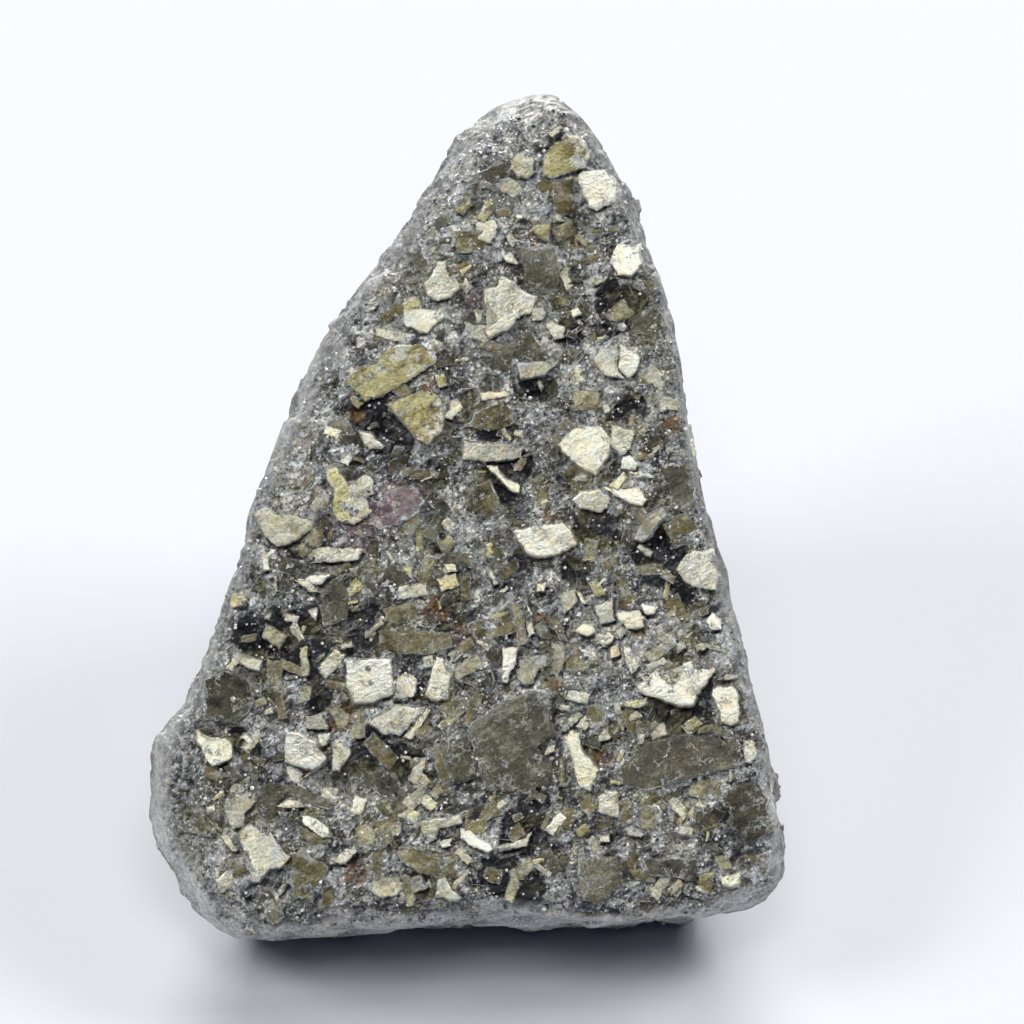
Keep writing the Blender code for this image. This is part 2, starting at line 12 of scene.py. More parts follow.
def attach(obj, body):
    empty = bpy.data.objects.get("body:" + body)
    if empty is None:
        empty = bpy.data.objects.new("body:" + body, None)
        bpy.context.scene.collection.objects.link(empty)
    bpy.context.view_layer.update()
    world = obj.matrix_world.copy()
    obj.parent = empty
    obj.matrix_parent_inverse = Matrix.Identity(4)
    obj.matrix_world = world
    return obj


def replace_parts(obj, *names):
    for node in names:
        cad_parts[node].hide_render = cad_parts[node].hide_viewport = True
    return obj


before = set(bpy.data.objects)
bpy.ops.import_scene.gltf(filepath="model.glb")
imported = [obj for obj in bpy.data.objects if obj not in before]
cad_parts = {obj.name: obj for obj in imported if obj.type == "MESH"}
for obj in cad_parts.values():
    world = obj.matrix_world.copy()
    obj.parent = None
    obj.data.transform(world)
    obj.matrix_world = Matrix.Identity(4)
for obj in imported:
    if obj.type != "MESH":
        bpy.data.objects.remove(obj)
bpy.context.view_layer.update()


# ---------------------------------------------------------------------------
# The broad face of the chunk leans back by 45 degrees. Places on it are given in millimetres: x to
# the right, t up along the face and w straight out of it.
FACE_LEAN = math.radians(45)
FACE_ORIGIN = Vector((2.20, -2.42, 21.2))  # millimetres above the middle of the base
MM = 0.001
lean_back = Matrix.Rotation(FACE_LEAN, 4, "X")
face_to_world = Matrix.Scale(MM, 4) @ Matrix.Translation(FACE_ORIGIN) @ lean_back
world_to_face = face_to_world.inverted()


def place_piece(name, mesh, material):
    """Adds a mesh given in the face frame as a finished piece of the chunk."""
    mesh.transform(face_to_world)
    mesh.materials.clear()
    mesh.materials.append(material)
    piece = bpy.data.objects.new(name, mesh)
    bpy.context.scene.collection.objects.link(piece)
    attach(piece, "root")
    return piece


# ---------------------------------------------------------------------------
# Camera. A long lens looks square at the broad face, from above and in front.
CAMERA_DISTANCE = 1500.0  # millimetres to the face
FIELD_WIDTH = 51.2  # millimetres of the face that the image is wide
SENSOR_WIDTH = 36.0
CLIP_START, CLIP_END = 0.01, 10.0  # metres

camera_data = bpy.data.cameras.new("camera")
camera_data.sensor_width = SENSOR_WIDTH
camera_data.lens = SENSOR_WIDTH * CAMERA_DISTANCE / FIELD_WIDTH
camera_data.clip_start = CLIP_START
camera_data.clip_end = CLIP_END
camera = bpy.data.objects.new("camera", camera_data)
bpy.context.scene.collection.objects.link(camera)
camera.rotation_euler = (FACE_LEAN, 0.0, 0.0)
camera.location = face_to_world @ Vector((0.0, 0.0, CAMERA_DISTANCE))
bpy.context.scene.camera = camera


# ---------------------------------------------------------------------------
# Studio. A pale, faintly lavender floor under soft lamps at the left, the right, behind and in
# front, which the bright crystal faces mirror, in a dim bluish room.
FLOOR_TONE = (0.66, 0.685, 0.74)
FLOOR_ROUGHNESS = 0.6
FLOOR_REACH = 1.5  # metres from the chunk to the floor's edge
FLOOR_RINGS = 60
FLOOR_STEPS = 96  # corners in each ring
RISE_REACH = (0.65, 1.10)  # metres from the chunk where the floor begins to rise and is level again
RISE = 0.035
GLOW_REACH = (0.12, 0.95)  # metres from the chunk where the floor's glow begins and is full
GLOW_TONE = (0.62, 0.645, 0.71)
ROOM_TONE = (0.40, 0.44, 1.0)
ROOM_LIGHT = 0.05
LAMP_TONE = (1.0, 0.99, 0.965)
LAMP_TARGET = Vector((0.0, 0.0, 0.012))
# Place and width in metres and power in watts of each lamp
LAMPS = {
    "right_lamp": ((0.45, 0.10, 0.50), 0.24, 1.98),
    "left_lamp": ((-0.45, -0.08, 0.50), 0.24, 1.71),
    "back_lamp": ((0.0, 1.60, 0.55), 0.60, 38.5),
    "front_lamp": ((0.0, -0.21, 0.50), 0.20, 0.82),
}


class Shade:
    """A shader value: sums, differences and products of shades make maths nodes."""

    def __init__(self, tree, output):
        self.tree = tree
        self.output = output

    def node(self, kind, settings=None, sockets=None, result=0):
        """Adds a node with these settings and sockets and returns one of its outputs."""
        made = self.tree.nodes.new(kind)
        for name, value in (settings or {}).items():
            setattr(made, name, value)
        for name, value in (sockets or {}).items():
            self.plug(made.inputs[name], value)
        return Shade(self.tree, made.outputs[result])

    def plug(self, socket, value):
        if isinstance(value, Shade):
            self.tree.links.new(value.output, socket)
        else:
            socket.default_value = value

    def maths(self, operation, *values):
        return self.node("ShaderNodeMath", {"operation": operation}, dict(enumerate(values)))

    def __add__(self, other):
        return self.maths("ADD", self, other)

    def __sub__(self, other):
        return self.maths("SUBTRACT", self, other)

    def __mul__(self, other):
        return self.maths("MULTIPLY", self, other)

    def __radd__(self, other):
        return self.maths("ADD", other, self)

    def __rsub__(self, other):
        return self.maths("SUBTRACT", other, self)

    def __rmul__(self, other):
        return self.maths("MULTIPLY", other, self)

    def between(self, low, high):
        """0 below low, 1 above high, smooth in between."""
        sockets = {"Value": self, "From Min": low, "From Max": high}
        return self.node("ShaderNodeMapRange", {"interpolation_type": "SMOOTHSTEP"}, sockets)

    def mix(self, first, second):
        """The first colour where this value is 0 and the second where it is 1."""
        sockets = {"Factor": self, 6: first, 7: second}
        return self.node("ShaderNodeMix", {"data_type": "RGBA"}, sockets, 2)

    def attribute(self, name):
        return self.node("ShaderNodeAttribute", {"attribute_name": name}, None, "Fac")

    def places(self, turn=0.0, stretch=(1.0, 1.0, 1.0)):
        """Places in the face frame in millimetres, turned by some degrees within it and stretched."""
        spots = self.node("ShaderNodeTexCoord", None, None, "Object")
        to_face = {"Vector": spots, "Rotation": (-FACE_LEAN, 0.0, 0.0), "Scale": (1.0 / MM,) * 3}
        spots = self.node("ShaderNodeMapping", None, to_face)
        turned = {"Vector": spots, "Rotation": (0.0, 0.0, math.radians(turn))}
        spots = self.node("ShaderNodeMapping", None, turned)
        shrink = tuple(1.0 / share for share in stretch)
        return self.node("ShaderNodeVectorMath", {"operation": "MULTIPLY"}, {0: spots, 1: shrink})

    def noise(self, size, detail=3.0, roughness=0.6, at=None, twist=0.0):
        """Cloudy noise whose blotches are about this many millimetres wide; twist curls them."""
        sockets = {
            "Scale": 1.0 / size, "Detail": detail, "Roughness": roughness, "Distortion": twist,
            "Vector": at or self.places(),
        }
        return self.node("ShaderNodeTexNoise", None, sockets, "Fac")

    def wisps(self, size, low, high, twist=0.0):
        """1 along thin winding threads and 0 elsewhere."""
        ridge = self.noise(size, 4.0, 0.55, None, twist) * 2.0 - 1.0
        return (1.0 - ridge.maths("ABSOLUTE", ridge)).between(low, high)

    def cell_value(self, size):
        """A random value for each cell of about this many millimetres."""
        sockets = {"Scale": 1.0 / size, "Vector": self.places()}
        cells = self.node("ShaderNodeTexVoronoi", None, sockets, "Color")
        return self.node("ShaderNodeSeparateColor", None, {"Color": cells}, "Blue")

    def dyed(self, dye):
        """This colour multiplied by a colour."""
        sockets = {"Factor": 1.0, 6: self, 7: dye}
        return self.node("ShaderNodeMix", {"data_type": "RGBA", "blend_type": "MULTIPLY"}, sockets, 2)

    def times(self, shade):
        """This colour multiplied by a value."""
        return self.dyed(self.node("ShaderNodeCombineColor", None, {0: shade, 1: shade, 2: shade}))

    def bump(self, height, distance):
        """Pushes the surface out by height times this many millimetres."""
        sockets = {"Height": height, "Distance": distance * MM, "Strength": 1.0}
        return self.node("ShaderNodeBump", None, sockets)


def new_material(name):
    """An empty material, the shade to start drawing from, and its shader."""
    material = bpy.data.materials.new(name)
    material.use_nodes = True
    tree = material.node_tree
    return material, Shade(tree, None), tree.nodes["Principled BSDF"]


def colour(red, green, blue):
    return (red, green, blue, 1.0)


def smooth_step(low, high, value):
    share = np.clip((value - low) / (high - low), 0.0, 1.0)
    return share * share * (3.0 - 2.0 * share)


def floor_mesh():
    """A wide disc that rises a little far out, so that it stays in view up to the horizon."""
    reach = np.repeat(np.linspace(0.0, FLOOR_REACH, FLOOR_RINGS + 1)[1:], FLOOR_STEPS)
    turn = np.tile(np.arange(FLOOR_STEPS) * 2.0 * math.pi / FLOOR_STEPS, FLOOR_RINGS)
    height = RISE * smooth_step(*RISE_REACH, reach)
    corners = np.column_stack([reach * np.cos(turn), reach * np.sin(turn), height]).tolist()
    faces = [tuple(range(FLOOR_STEPS))]
    for ring, step in itertools.product(range(FLOOR_RINGS - 1), range(FLOOR_STEPS)):
        inner, following = ring * FLOOR_STEPS, (step + 1) % FLOOR_STEPS
        outer = inner + FLOOR_STEPS
        faces.append((inner + step, outer + step, outer + following, inner + following))
    mesh = bpy.data.meshes.new("floor")
    mesh.from_pydata(corners, [], faces)
    mesh.shade_smooth()
    return mesh


def floor_material():
    """A plain pale tone that glows a little far out, where the lamps don't reach."""
    material, shade, shader = new_material("floor")
    shade.plug(shader.inputs["Base Color"], colour(*FLOOR_TONE))
    shade.plug(shader.inputs["Metallic"], 0.0)
    shade.plug(shader.inputs["Roughness"], FLOOR_ROUGHNESS)
    spots = shade.node("ShaderNodeTexCoord", None, None, "Object")
    away = shade.node("ShaderNodeVectorMath", {"operation": "LENGTH"}, {0: spots}, "Value")
    glow = away.between(*GLOW_REACH).mix(colour(0.0, 0.0, 0.0), colour(*GLOW_TONE))
    shade.plug(shader.inputs["Emission Color"], glow)
    shade.plug(shader.inputs["Emission Strength"], 1.0)
    return material


def soft_light(name, place, width, power):
    """A square lamp at a place in metres that faces the chunk."""
    lamp = bpy.data.lights.new(name, "AREA")
    lamp.shape = "RECTANGLE"
    lamp.size = lamp.size_y = width
    lamp.energy = power
    lamp.color = LAMP_TONE
    holder = bpy.data.objects.new(name, lamp)
    holder.location = place
    holder.rotation_euler = (LAMP_TARGET - Vector(place)).to_track_quat("-Z", "Y").to_euler()
    holder.visible_camera = False
    bpy.context.scene.collection.objects.link(holder)


floor = bpy.data.objects.new("floor", floor_mesh())
floor.data.materials.append(floor_material())
bpy.context.scene.collection.objects.link(floor)

room = bpy.data.worlds.new("studio")
room.use_nodes = True
background = room.node_tree.nodes["Background"]
background.inputs["Color"].default_value = colour(*ROOM_TONE)
background.inputs["Strength"].default_value = ROOM_LIGHT
bpy.context.scene.world = room
for lamp_name, (place, width, power) in LAMPS.items():
    soft_light(lamp_name, place, width, power)
bpy.context.scene.view_settings.view_transform = "Standard"


# ---------------------------------------------------------------------------
# The crystals that stand out of the broad face, by their tone, as outlines on the face. They are
# flat-topped broken plates, blocks and laths of one to four millimetres, with ragged edges.
FACE_CRYSTALS = {
    "white": (
        ((3.25, 16.7), (3.5, 17.05), (4.6, 17.05), (5.05, 16.7), (5.25, 16.0), (5.1, 15.5), (4.2, 15.1),
         (3.85, 15.2)),
        ((-0.45, 12.8), (-0.1, 13.0), (0.4, 12.5), (0.3, 12.3), (-0.3, 12.5)),
        ((5.0, 13.1), (5.3, 13.4), (6.4, 13.35), (6.45, 12.4), (6.0, 11.75), (5.3, 11.85), (4.9, 12.5)),
        ((-1.4, 11.1), (-0.75, 11.25), (-0.6, 11.8), (0.0, 11.6), (0.6, 11.0), (1.25, 10.75),
         (1.0, 10.0), (0.2, 9.6), (-0.2, 9.1), (-1.2, 8.7), (-1.4, 9.1), (-0.8, 9.6), (-1.0, 10.1),
         (-1.4, 10.45)),
        ((2.2, 3.35), (3.15, 4.2), (4.4, 4.35), (5.0, 3.6), (4.85, 2.85), (4.15, 1.85), (3.15, 2.45)),
        ((0.05, -0.95), (1.15, -0.65), (2.55, -0.55), (3.0, -1.0), (3.25, -1.65), (2.4, -2.05),
         (1.65, -2.3), (0.8, -2.15), (0.4, -1.65)),
        ((8.2, -2.8), (8.5, -2.3), (9.0, -1.85), (9.65, -1.95), (10.05, -1.95), (10.0, -2.55),
         (10.35, -3.15), (10.15, -3.9), (9.65, -3.85), (9.0, -3.75), (8.6, -3.35)),
        ((10.0, -5.0), (10.5, -5.4), (10.5, -5.9), (10.0, -5.9), (9.7, -5.5)),
        ((5.3, -5.05), (6.35, -4.85), (6.45, -5.2), (6.65, -5.3), (6.55, -5.75), (6.1, -5.9),
         (5.75, -5.85), (5.3, -5.4)),
        ((6.4, -4.4), (7.25, -4.8), (7.15, -5.1), (6.65, -5.15), (6.4, -4.9)),
        ((-8.28, -7.45), (-7.5, -7.35), (-6.0, -7.3), (-6.0, -9.1), (-6.87, -9.55), (-7.86, -9.5),
         (-8.25, -8.6)),
        ((-4.4, -9.15), (-4.1, -8.3), (-3.75, -7.25), (-3.45, -7.4), (-3.3, -8.0), (-3.0, -8.15),
         (-3.25, -9.35), (-4.1, -9.4)),
        ((-0.55, -6.8), (0.25, -6.75), (0.2, -7.5), (-0.05, -8.0), (-0.25, -8.55), (-0.45, -8.5)),
        ((6.1, -8.6), (6.45, -8.4), (6.8, -8.5), (6.85, -8.1), (7.15, -7.95), (7.4, -8.1), (7.7, -8.35),
         (8.0, -8.6), (8.25, -8.25), (8.5, -7.85), (8.7, -7.5), (9.1, -7.4), (9.9, -7.45),
         (10.2, -7.85), (9.9, -8.35), (9.65, -8.7), (9.2, -9.2), (9.05, -9.65), (8.5, -9.7),
         (8.0, -9.6), (7.4, -9.35), (6.7, -9.2), (6.35, -8.95)),
        ((10.0, -8.85), (10.4, -8.65), (11.05, -8.75), (11.3, -9.2), (11.35, -9.9), (11.3, -10.5),
         (10.95, -10.7), (10.5, -10.5), (10.4, -9.9), (10.0, -9.2)),
        ((-11.35, -11.0), (-10.6, -11.05), (-9.85, -11.4), (-9.8, -11.9), (-9.3, -12.35),
         (-10.0, -12.9), (-10.5, -12.7), (-11.3, -12.5), (-11.4, -11.9)),
        ((-11.3, -12.7), (-11.0, -12.7), (-10.4, -13.1), (-10.6, -13.35), (-10.4, -13.9),
         (-11.1, -13.4)),
        ((4.3, -14.25), (4.7, -13.95), (5.3, -14.05), (5.35, -15.0), (5.25, -15.25), (4.3, -15.0)),
        ((-2.6, -15.8), (-2.2, -15.8), (-1.7, -16.3), (-1.1, -16.5), (-0.95, -16.9), (-1.2, -17.1),
         (-2.1, -16.7), (-2.6, -16.3)),
    ),
    "bright": (
        ((-0.1, 17.1), (0.0, 17.65), (0.5, 18.0), (0.7, 17.75), (1.1, 17.65), (1.1, 17.0), (0.8, 16.7),
         (0.3, 16.7)),
        ((0.15, 14.85), (0.6, 14.9), (0.7, 14.65), (0.3, 14.6)),
        ((2.1, 14.95), (2.4, 15.0), (2.6, 14.5), (2.2, 14.5)),
        ((-1.75, 10.95), (-1.5, 11.1), (-1.4, 10.8), (-1.6, 10.6)),
        ((2.9, 10.1), (3.3, 10.25), (3.5, 9.9), (3.1, 9.7)),
        ((-3.7, 12.5), (-3.3, 12.6), (-3.2, 11.85), (-2.7, 11.6), (-2.6, 11.2), (-3.1, 10.75),
         (-3.7, 10.6), (-4.2, 10.75), (-4.4, 11.35), (-4.1, 11.85)),
        ((-5.45, 10.1), (-3.45, 10.2), (-3.4, 9.7), (-4.0, 9.35), (-4.2, 8.95), (-4.6, 9.0),
         (-5.4, 9.35)),
        ((1.65, 9.4), (2.0, 9.5), (2.65, 9.2), (2.6, 8.7), (2.1, 8.6)),
        ((-3.4, 4.7), (-3.0, 5.6), (-2.55, 5.5), (-2.5, 5.2), (-3.0, 4.6)),
        ((-7.7, 4.05), (-7.1, 3.9), (-6.4, 3.3), (-6.5, 3.15), (-7.1, 3.15), (-7.6, 3.6)),
        ((5.0, 4.35), (6.1, 4.0), (5.9, 3.1), (5.4, 2.8), (4.9, 3.35)),
        ((5.4, 8.35), (6.0, 8.1), (6.4, 7.75), (6.25, 7.1), (5.8, 6.7), (5.3, 7.2)),
        ((-1.35, 2.35), (-0.7, 2.3), (-0.35, 1.7), (0.4, 1.35), (0.35, 0.9), (0.0, 1.0), (-0.6, 1.6)),
        ((3.0, 0.6), (3.4, 1.0), (4.4, 1.1), (4.9, 0.75), (4.75, 0.2), (4.4, -0.05), (3.4, 0.2)),
        ((4.65, 1.25), (6.4, 1.15), (6.75, 0.6), (6.5, 0.3), (5.9, 0.35), (5.0, 0.95)),
        ((7.0, -5.4), (7.4, -5.2), (7.45, -5.3), (7.15, -5.55)),
        ((8.75, -7.3), (8.95, -7.15), (9.2, -7.25), (9.0, -7.45)),
        ((7.5, -12.25), (7.8, -12.05), (7.75, -12.25)),
        ((3.25, -6.0), (3.3, -5.65), (3.6, -5.55), (4.1, -5.7), (4.25, -6.0), (3.75, -6.25)),
        ((4.1, -6.15), (4.9, -6.0), (5.15, -6.25), (5.0, -6.5), (4.55, -6.8), (4.25, -6.45)),
        ((5.0, -5.9), (5.5, -5.75), (5.75, -6.0), (5.4, -6.35)),
        ((6.05, -6.25), (6.5, -6.2), (6.45, -6.45)),
        ((-15.8, -10.9), (-15.45, -11.1), (-15.2, -11.4), (-14.65, -11.25), (-14.2, -11.4),
         (-14.0, -11.65), (-13.95, -12.2), (-14.35, -12.5), (-15.0, -12.7), (-15.3, -12.35),
         (-15.4, -11.95), (-15.8, -11.5)),
        ((-12.3, -14.05), (-12.0, -14.1), (-12.1, -14.5), (-12.35, -14.45)),
        ((-10.55, -15.15), (-10.0, -15.2), (-9.2, -15.8), (-9.05, -16.3), (-9.45, -16.3),
         (-10.35, -15.65)),
        ((2.6, -11.3), (3.0, -10.9), (3.35, -11.15), (3.6, -12.1), (4.3, -12.9), (4.1, -13.3),
         (3.9, -14.0), (3.4, -13.8), (3.0, -12.4)),
        ((-4.5, -15.4), (-3.35, -15.2), (-2.6, -15.15), (-2.5, -15.6), (-3.6, -15.8), (-3.8, -16.3),
         (-4.1, -16.5), (-4.5, -16.0)),
        ((-3.75, -18.4), (-3.3, -18.25), (-3.0, -18.9), (-2.5, -19.25), (-3.2, -19.4), (-3.8, -19.15)),
        ((10.3, -18.2), (11.5, -18.05), (11.3, -18.65), (10.5, -18.7)),
        ((8.55, 3.5), (9.0, 3.6), (9.15, 2.8), (8.75, 2.6), (8.4, 2.9)),
        ((5.45, 2.8), (5.9, 2.85), (6.3, 2.4), (6.2, 2.1), (5.4, 2.2)),
        ((5.8, 2.05), (6.9, 1.95), (7.2, 1.7), (6.2, 1.75)),
        ((-10.4, -3.2), (-9.0, -3.1), (-9.5, -3.6), (-10.0, -3.6)),
        ((-5.4, -11.2), (-4.3, -9.7), (-4.0, -9.9), (-5.0, -11.4)),
        ((-3.45, -2.6), (-2.8, -2.6), (-2.7, -3.0), (-3.2, -3.05)),
        ((-1.4, -2.7), (-1.1, -2.7), (-0.7, -3.6), (-0.9, -3.65)),
        ((3.2, -3.9), (3.5, -4.1), (3.8, -4.6), (3.5, -4.6)),
        ((4.9, -6.8), (5.3, -6.6), (5.4, -7.1), (4.9, -7.4)),
        ((4.3, -16.2), (4.9, -16.1), (4.9, -16.5), (4.4, -16.5)),
        ((-4.5, -7.2), (-3.95, -7.1), (-3.9, -7.7), (-4.4, -7.8)),
        ((1.3, -3.6), (1.8, -3.5), (1.6, -4.0), (1.2, -4.0)),
        ((-3.7, -16.5), (-3.0, -16.3), (-3.1, -16.7), (-3.5, -16.8)),
    ),
    "pale": (
        ((-12.8, -0.2), (-12.4, 0.15), (-11.4, 0.15), (-9.95, -0.5), (-10.1, -0.95), (-11.2, -1.6),
         (-11.8, -1.7), (-12.5, -1.1)),
        ((0.9, 10.2), (1.5, 10.4), (1.7, 10.0), (1.5, 9.6), (1.0, 9.6)),
        ((4.1, 7.5), (4.5, 8.2), (5.3, 8.3), (5.2, 7.2), (5.7, 6.7), (4.6, 6.8)),
        ((0.25, 7.5), (2.4, 7.55), (1.65, 6.85), (0.4, 6.7)),
        ((7.2, 5.8), (8.3, 5.7), (8.3, 5.1), (7.4, 5.0)),
        ((8.5, 4.5), (8.9, 4.4), (8.9, 3.8), (8.5, 3.8)),
        ((7.65, 3.2), (7.9, 3.3), (8.0, 3.0), (7.8, 2.8)),
        ((-2.5, 3.6), (-1.35, 3.45), (0.65, 3.35), (0.4, 2.7), (-1.35, 2.5), (-2.5, 2.6)),
        ((6.1, -1.4), (6.4, -0.65), (7.15, 0.1), (7.6, 0.2), (7.65, -0.15), (6.9, -1.15), (6.5, -1.5)),
        ((-8.2, 1.33), (-7.37, 1.92), (-6.95, 1.67), (-6.95, 0.83), (-7.54, 0.58), (-8.2, 1.0)),
        ((-7.1, -10.5), (-5.85, -9.65), (-4.35, -9.7), (-4.85, -10.5), (-5.6, -11.15), (-6.5, -11.1)),
        ((-14.35, -14.6), (-13.8, -14.05), (-13.3, -14.3), (-12.8, -14.5), (-13.4, -15.1),
         (-13.45, -15.7), (-13.95, -15.9), (-14.25, -15.3)),
        ((-13.65, -16.1), (-13.15, -15.55), (-12.6, -15.9), (-12.1, -15.9), (-11.85, -16.45),
         (-11.05, -17.25), (-11.6, -17.8), (-12.1, -17.8), (-12.6, -18.5), (-13.0, -18.5),
         (-13.05, -17.4), (-13.45, -16.9)),
        ((-9.8, -11.1), (-9.05, -11.0), (-9.15, -11.55), (-9.55, -11.9)),
        ((-10.5, -13.3), (-9.4, -12.4), (-9.25, -12.5), (-9.7, -12.9), (-10.25, -13.25)),
        ((-11.8, -14.7), (-11.15, -14.3), (-10.5, -14.5), (-10.4, -14.75), (-11.4, -14.8)),
        ((-13.85, -17.3), (-13.4, -17.2), (-13.4, -17.6), (-13.8, -17.7)),
        ((-14.6, -16.2), (-14.2, -16.1), (-13.7, -16.9), (-14.0, -17.0)),
        ((-5.95, -9.4), (-5.85, -8.3), (-5.4, -7.95), (-4.65, -8.35), (-4.9, -9.3)),
        ((-10.56, -2.04), (-9.7, -1.8), (-8.2, -1.7), (-7.37, -1.87), (-7.7, -2.4), (-9.05, -2.54),
         (-10.4, -2.54)),
        ((-11.0, -3.3), (-10.2, -3.3), (-9.7, -4.0), (-10.1, -4.0)),
        ((-12.5, -2.1), (-12.2, -2.1), (-12.1, -2.9), (-12.5, -3.0)),
        ((1.65, 19.0), (2.4, 19.4), (2.55, 19.2), (2.1, 18.7)),
        ((-1.85, 14.45), (-0.9, 14.7), (-0.65, 14.3), (-1.1, 13.4), (-1.7, 13.6)),
        ((3.9, 11.5), (4.5, 11.75), (4.6, 11.5), (4.2, 11.35)),
        ((-1.9, 10.0), (-1.5, 10.0), (-1.5, 9.55), (-1.8, 9.5)),
        ((10.25, -8.35), (10.75, -8.1), (11.35, -8.1), (11.3, -8.3), (10.7, -8.4)),
        ((9.1, -6.7), (9.4, -6.5), (9.75, -6.65), (9.65, -6.95), (9.25, -6.95)),
        ((7.25, -6.25), (7.65, -6.05), (8.1, -6.1), (8.25, -6.4), (7.9, -6.6), (7.4, -6.5)),
        ((8.1, -6.6), (8.6, -6.5), (8.7, -6.8), (8.25, -7.1)),
        ((0.65, -5.4), (1.0, -5.55), (1.2, -6.1), (0.8, -6.25)),
        ((1.9, -6.5), (2.6, -6.3), (2.7, -6.8), (2.55, -7.8), (2.3, -8.25), (1.95, -8.0), (2.1, -7.3)),
        ((5.05, -9.65), (5.4, -9.35), (5.7, -10.6), (5.5, -11.0), (5.25, -10.5)),
        ((5.6, -15.9), (6.0, -15.6), (6.6, -15.9), (6.5, -16.3), (5.9, -16.2)),
        ((11.5, -11.4), (12.1, -11.4), (12.3, -12.0), (12.0, -12.6), (11.6, -12.5)),
        ((10.8, -12.9), (11.1, -12.8), (11.0, -13.5), (10.8, -13.5)),
        ((-10.3, -10.2), (-9.5, -10.1), (-9.1, -10.7), (-9.2, -10.9), (-10.3, -10.8)),
        ((-9.0, -11.5), (-8.35, -11.4), (-8.0, -11.95), (-8.65, -12.95), (-9.0, -12.9), (-9.05, -12.2)),
        ((-8.4, -16.85), (-7.6, -16.85), (-8.4, -17.65), (-8.9, -17.5)),
        ((-7.4, -18.75), (-6.8, -18.35), (-5.8, -18.2), (-5.4, -18.6), (-5.7, -19.15), (-6.6, -19.3)),
        ((-0.8, -16.8), (0.5, -16.3), (1.0, -16.0), (0.7, -16.7), (-0.6, -17.0)),
        ((4.3, -11.2), (4.8, -10.7), (5.0, -11.3), (4.4, -11.5)),
        ((1.3, -11.7), (2.2, -11.6), (2.1, -12.0), (1.6, -12.2)),
        ((5.5, -6.6), (5.9, -6.7), (6.4, -7.7), (6.0, -8.1), (5.6, -7.4)),
        ((0.2, -8.25), (0.4, -7.5), (0.9, -7.1), (1.75, -7.2), (1.85, -7.65), (1.4, -7.9), (1.0, -8.6),
         (0.45, -8.6)),
        ((2.3, -10.95), (2.6, -10.5), (3.05, -10.1), (3.6, -9.75), (3.65, -10.1), (3.15, -10.6),
         (2.7, -10.95)),
        ((-12.05, -3.1), (-11.7, -3.2), (-11.7, -4.0), (-11.9, -4.0)),
        ((-10.2, -4.9), (-9.7, -4.8), (-9.8, -5.5)),
        ((4.15, -4.65), (5.0, -4.3), (5.15, -5.4), (4.4, -5.65)),
        ((2.3, -4.2), (3.2, -3.8), (3.3, -4.5), (2.6, -5.1)),
        ((-11.8, -19.0), (-11.3, -18.3), (-11.1, -18.5), (-11.6, -19.2)),
    ),
    "gold": (
        ((1.45, 16.85), (1.65, 17.85), (2.15, 18.45), (3.15, 18.75), (3.65, 18.5), (3.85, 17.85),
         (3.65, 17.2), (2.9, 17.0), (2.0, 16.7)),
        ((-8.46, 6.55), (-7.7, 7.15), (-6.7, 7.5), (-6.45, 8.0), (-5.7, 8.4), (-4.65, 8.4),
         (-3.75, 7.5), (-5.2, 6.55), (-6.5, 5.8), (-7.35, 5.55), (-8.3, 6.4)),
        ((-6.27, 5.37), (-5.51, 5.79), (-4.17, 6.04), (-3.58, 5.71), (-3.33, 4.87), (-3.5, 4.02),
         (-4.25, 3.35), (-4.84, 3.69), (-5.68, 4.7)),
        ((-9.3, 2.34), (-8.7, 2.17), (-8.29, 1.5), (-7.2, 0.49), (-7.03, -0.02), (-7.87, -0.69),
         (-8.7, -0.52), (-9.05, 0.15), (-8.88, 1.0), (-9.3, 1.66)),
        ((-8.4, 6.2), (-7.9, 6.1), (-7.4, 5.4), (-7.7, 5.2), (-8.2, 5.6)),
        ((-14.0, -4.8), (-14.05, -4.25), (-13.6, -3.85), (-13.25, -4.15), (-13.4, -4.7)),
        ((1.05, 14.45), (1.9, 14.4), (1.9, 13.5), (1.4, 13.7), (1.05, 14.1)),
        ((3.05, 13.9), (3.4, 13.95), (3.9, 13.5), (3.7, 13.25), (3.2, 13.6)),
        ((-2.9, 15.15), (-2.1, 15.6), (-2.0, 15.35), (-2.5, 14.85)),
        ((5.55, -9.65), (5.75, -9.4), (6.75, -9.3), (6.7, -9.6), (6.1, -9.85)),
        ((-3.9, 6.9), (-3.4, 6.9), (-3.2, 6.3), (-3.7, 6.2)),
        ((-10.6, -6.8), (-10.2, -6.7), (-10.1, -8.2), (-10.5, -8.3)),
    ),
    "olive": (
        ((1.9, 16.6), (3.1, 16.7), (3.2, 14.9), (2.2, 14.9)),
        ((-9.3, -9.9), (-8.75, -9.65), (-8.1, -10.1), (-8.2, -10.75), (-8.6, -10.9), (-8.9, -10.3)),
        ((-8.0, -10.6), (-7.3, -10.4), (-7.3, -11.3), (-8.1, -11.4)),
        ((-7.95, -15.9), (-7.3, -15.55), (-6.65, -16.05), (-6.9, -16.7), (-7.6, -16.75)),
        ((-5.8, -17.0), (-4.9, -16.7), (-3.6, -17.3), (-3.6, -18.2), (-4.6, -18.0), (-5.5, -17.5)),
        ((-6.4, -4.8), (-4.9, -4.5), (-4.6, -5.4), (-6.2, -5.7)),
        ((4.4, -2.5), (5.2, -2.3), (5.4, -2.8), (4.6, -3.0)),
        ((-2.3, 4.36), (-1.8, 5.0), (-0.63, 5.46), (0.13, 5.03), (-0.13, 4.36), (-1.14, 4.0)),
        ((-6.65, -6.0), (-4.1, -6.0), (-3.0, -6.15), (-3.0, -6.8), (-4.1, -7.1), (-6.65, -7.05)),
        ((-2.4, 1.1), (-1.1, 1.6), (-0.6, 0.35), (-1.1, -0.4), (-2.2, 0.1)),
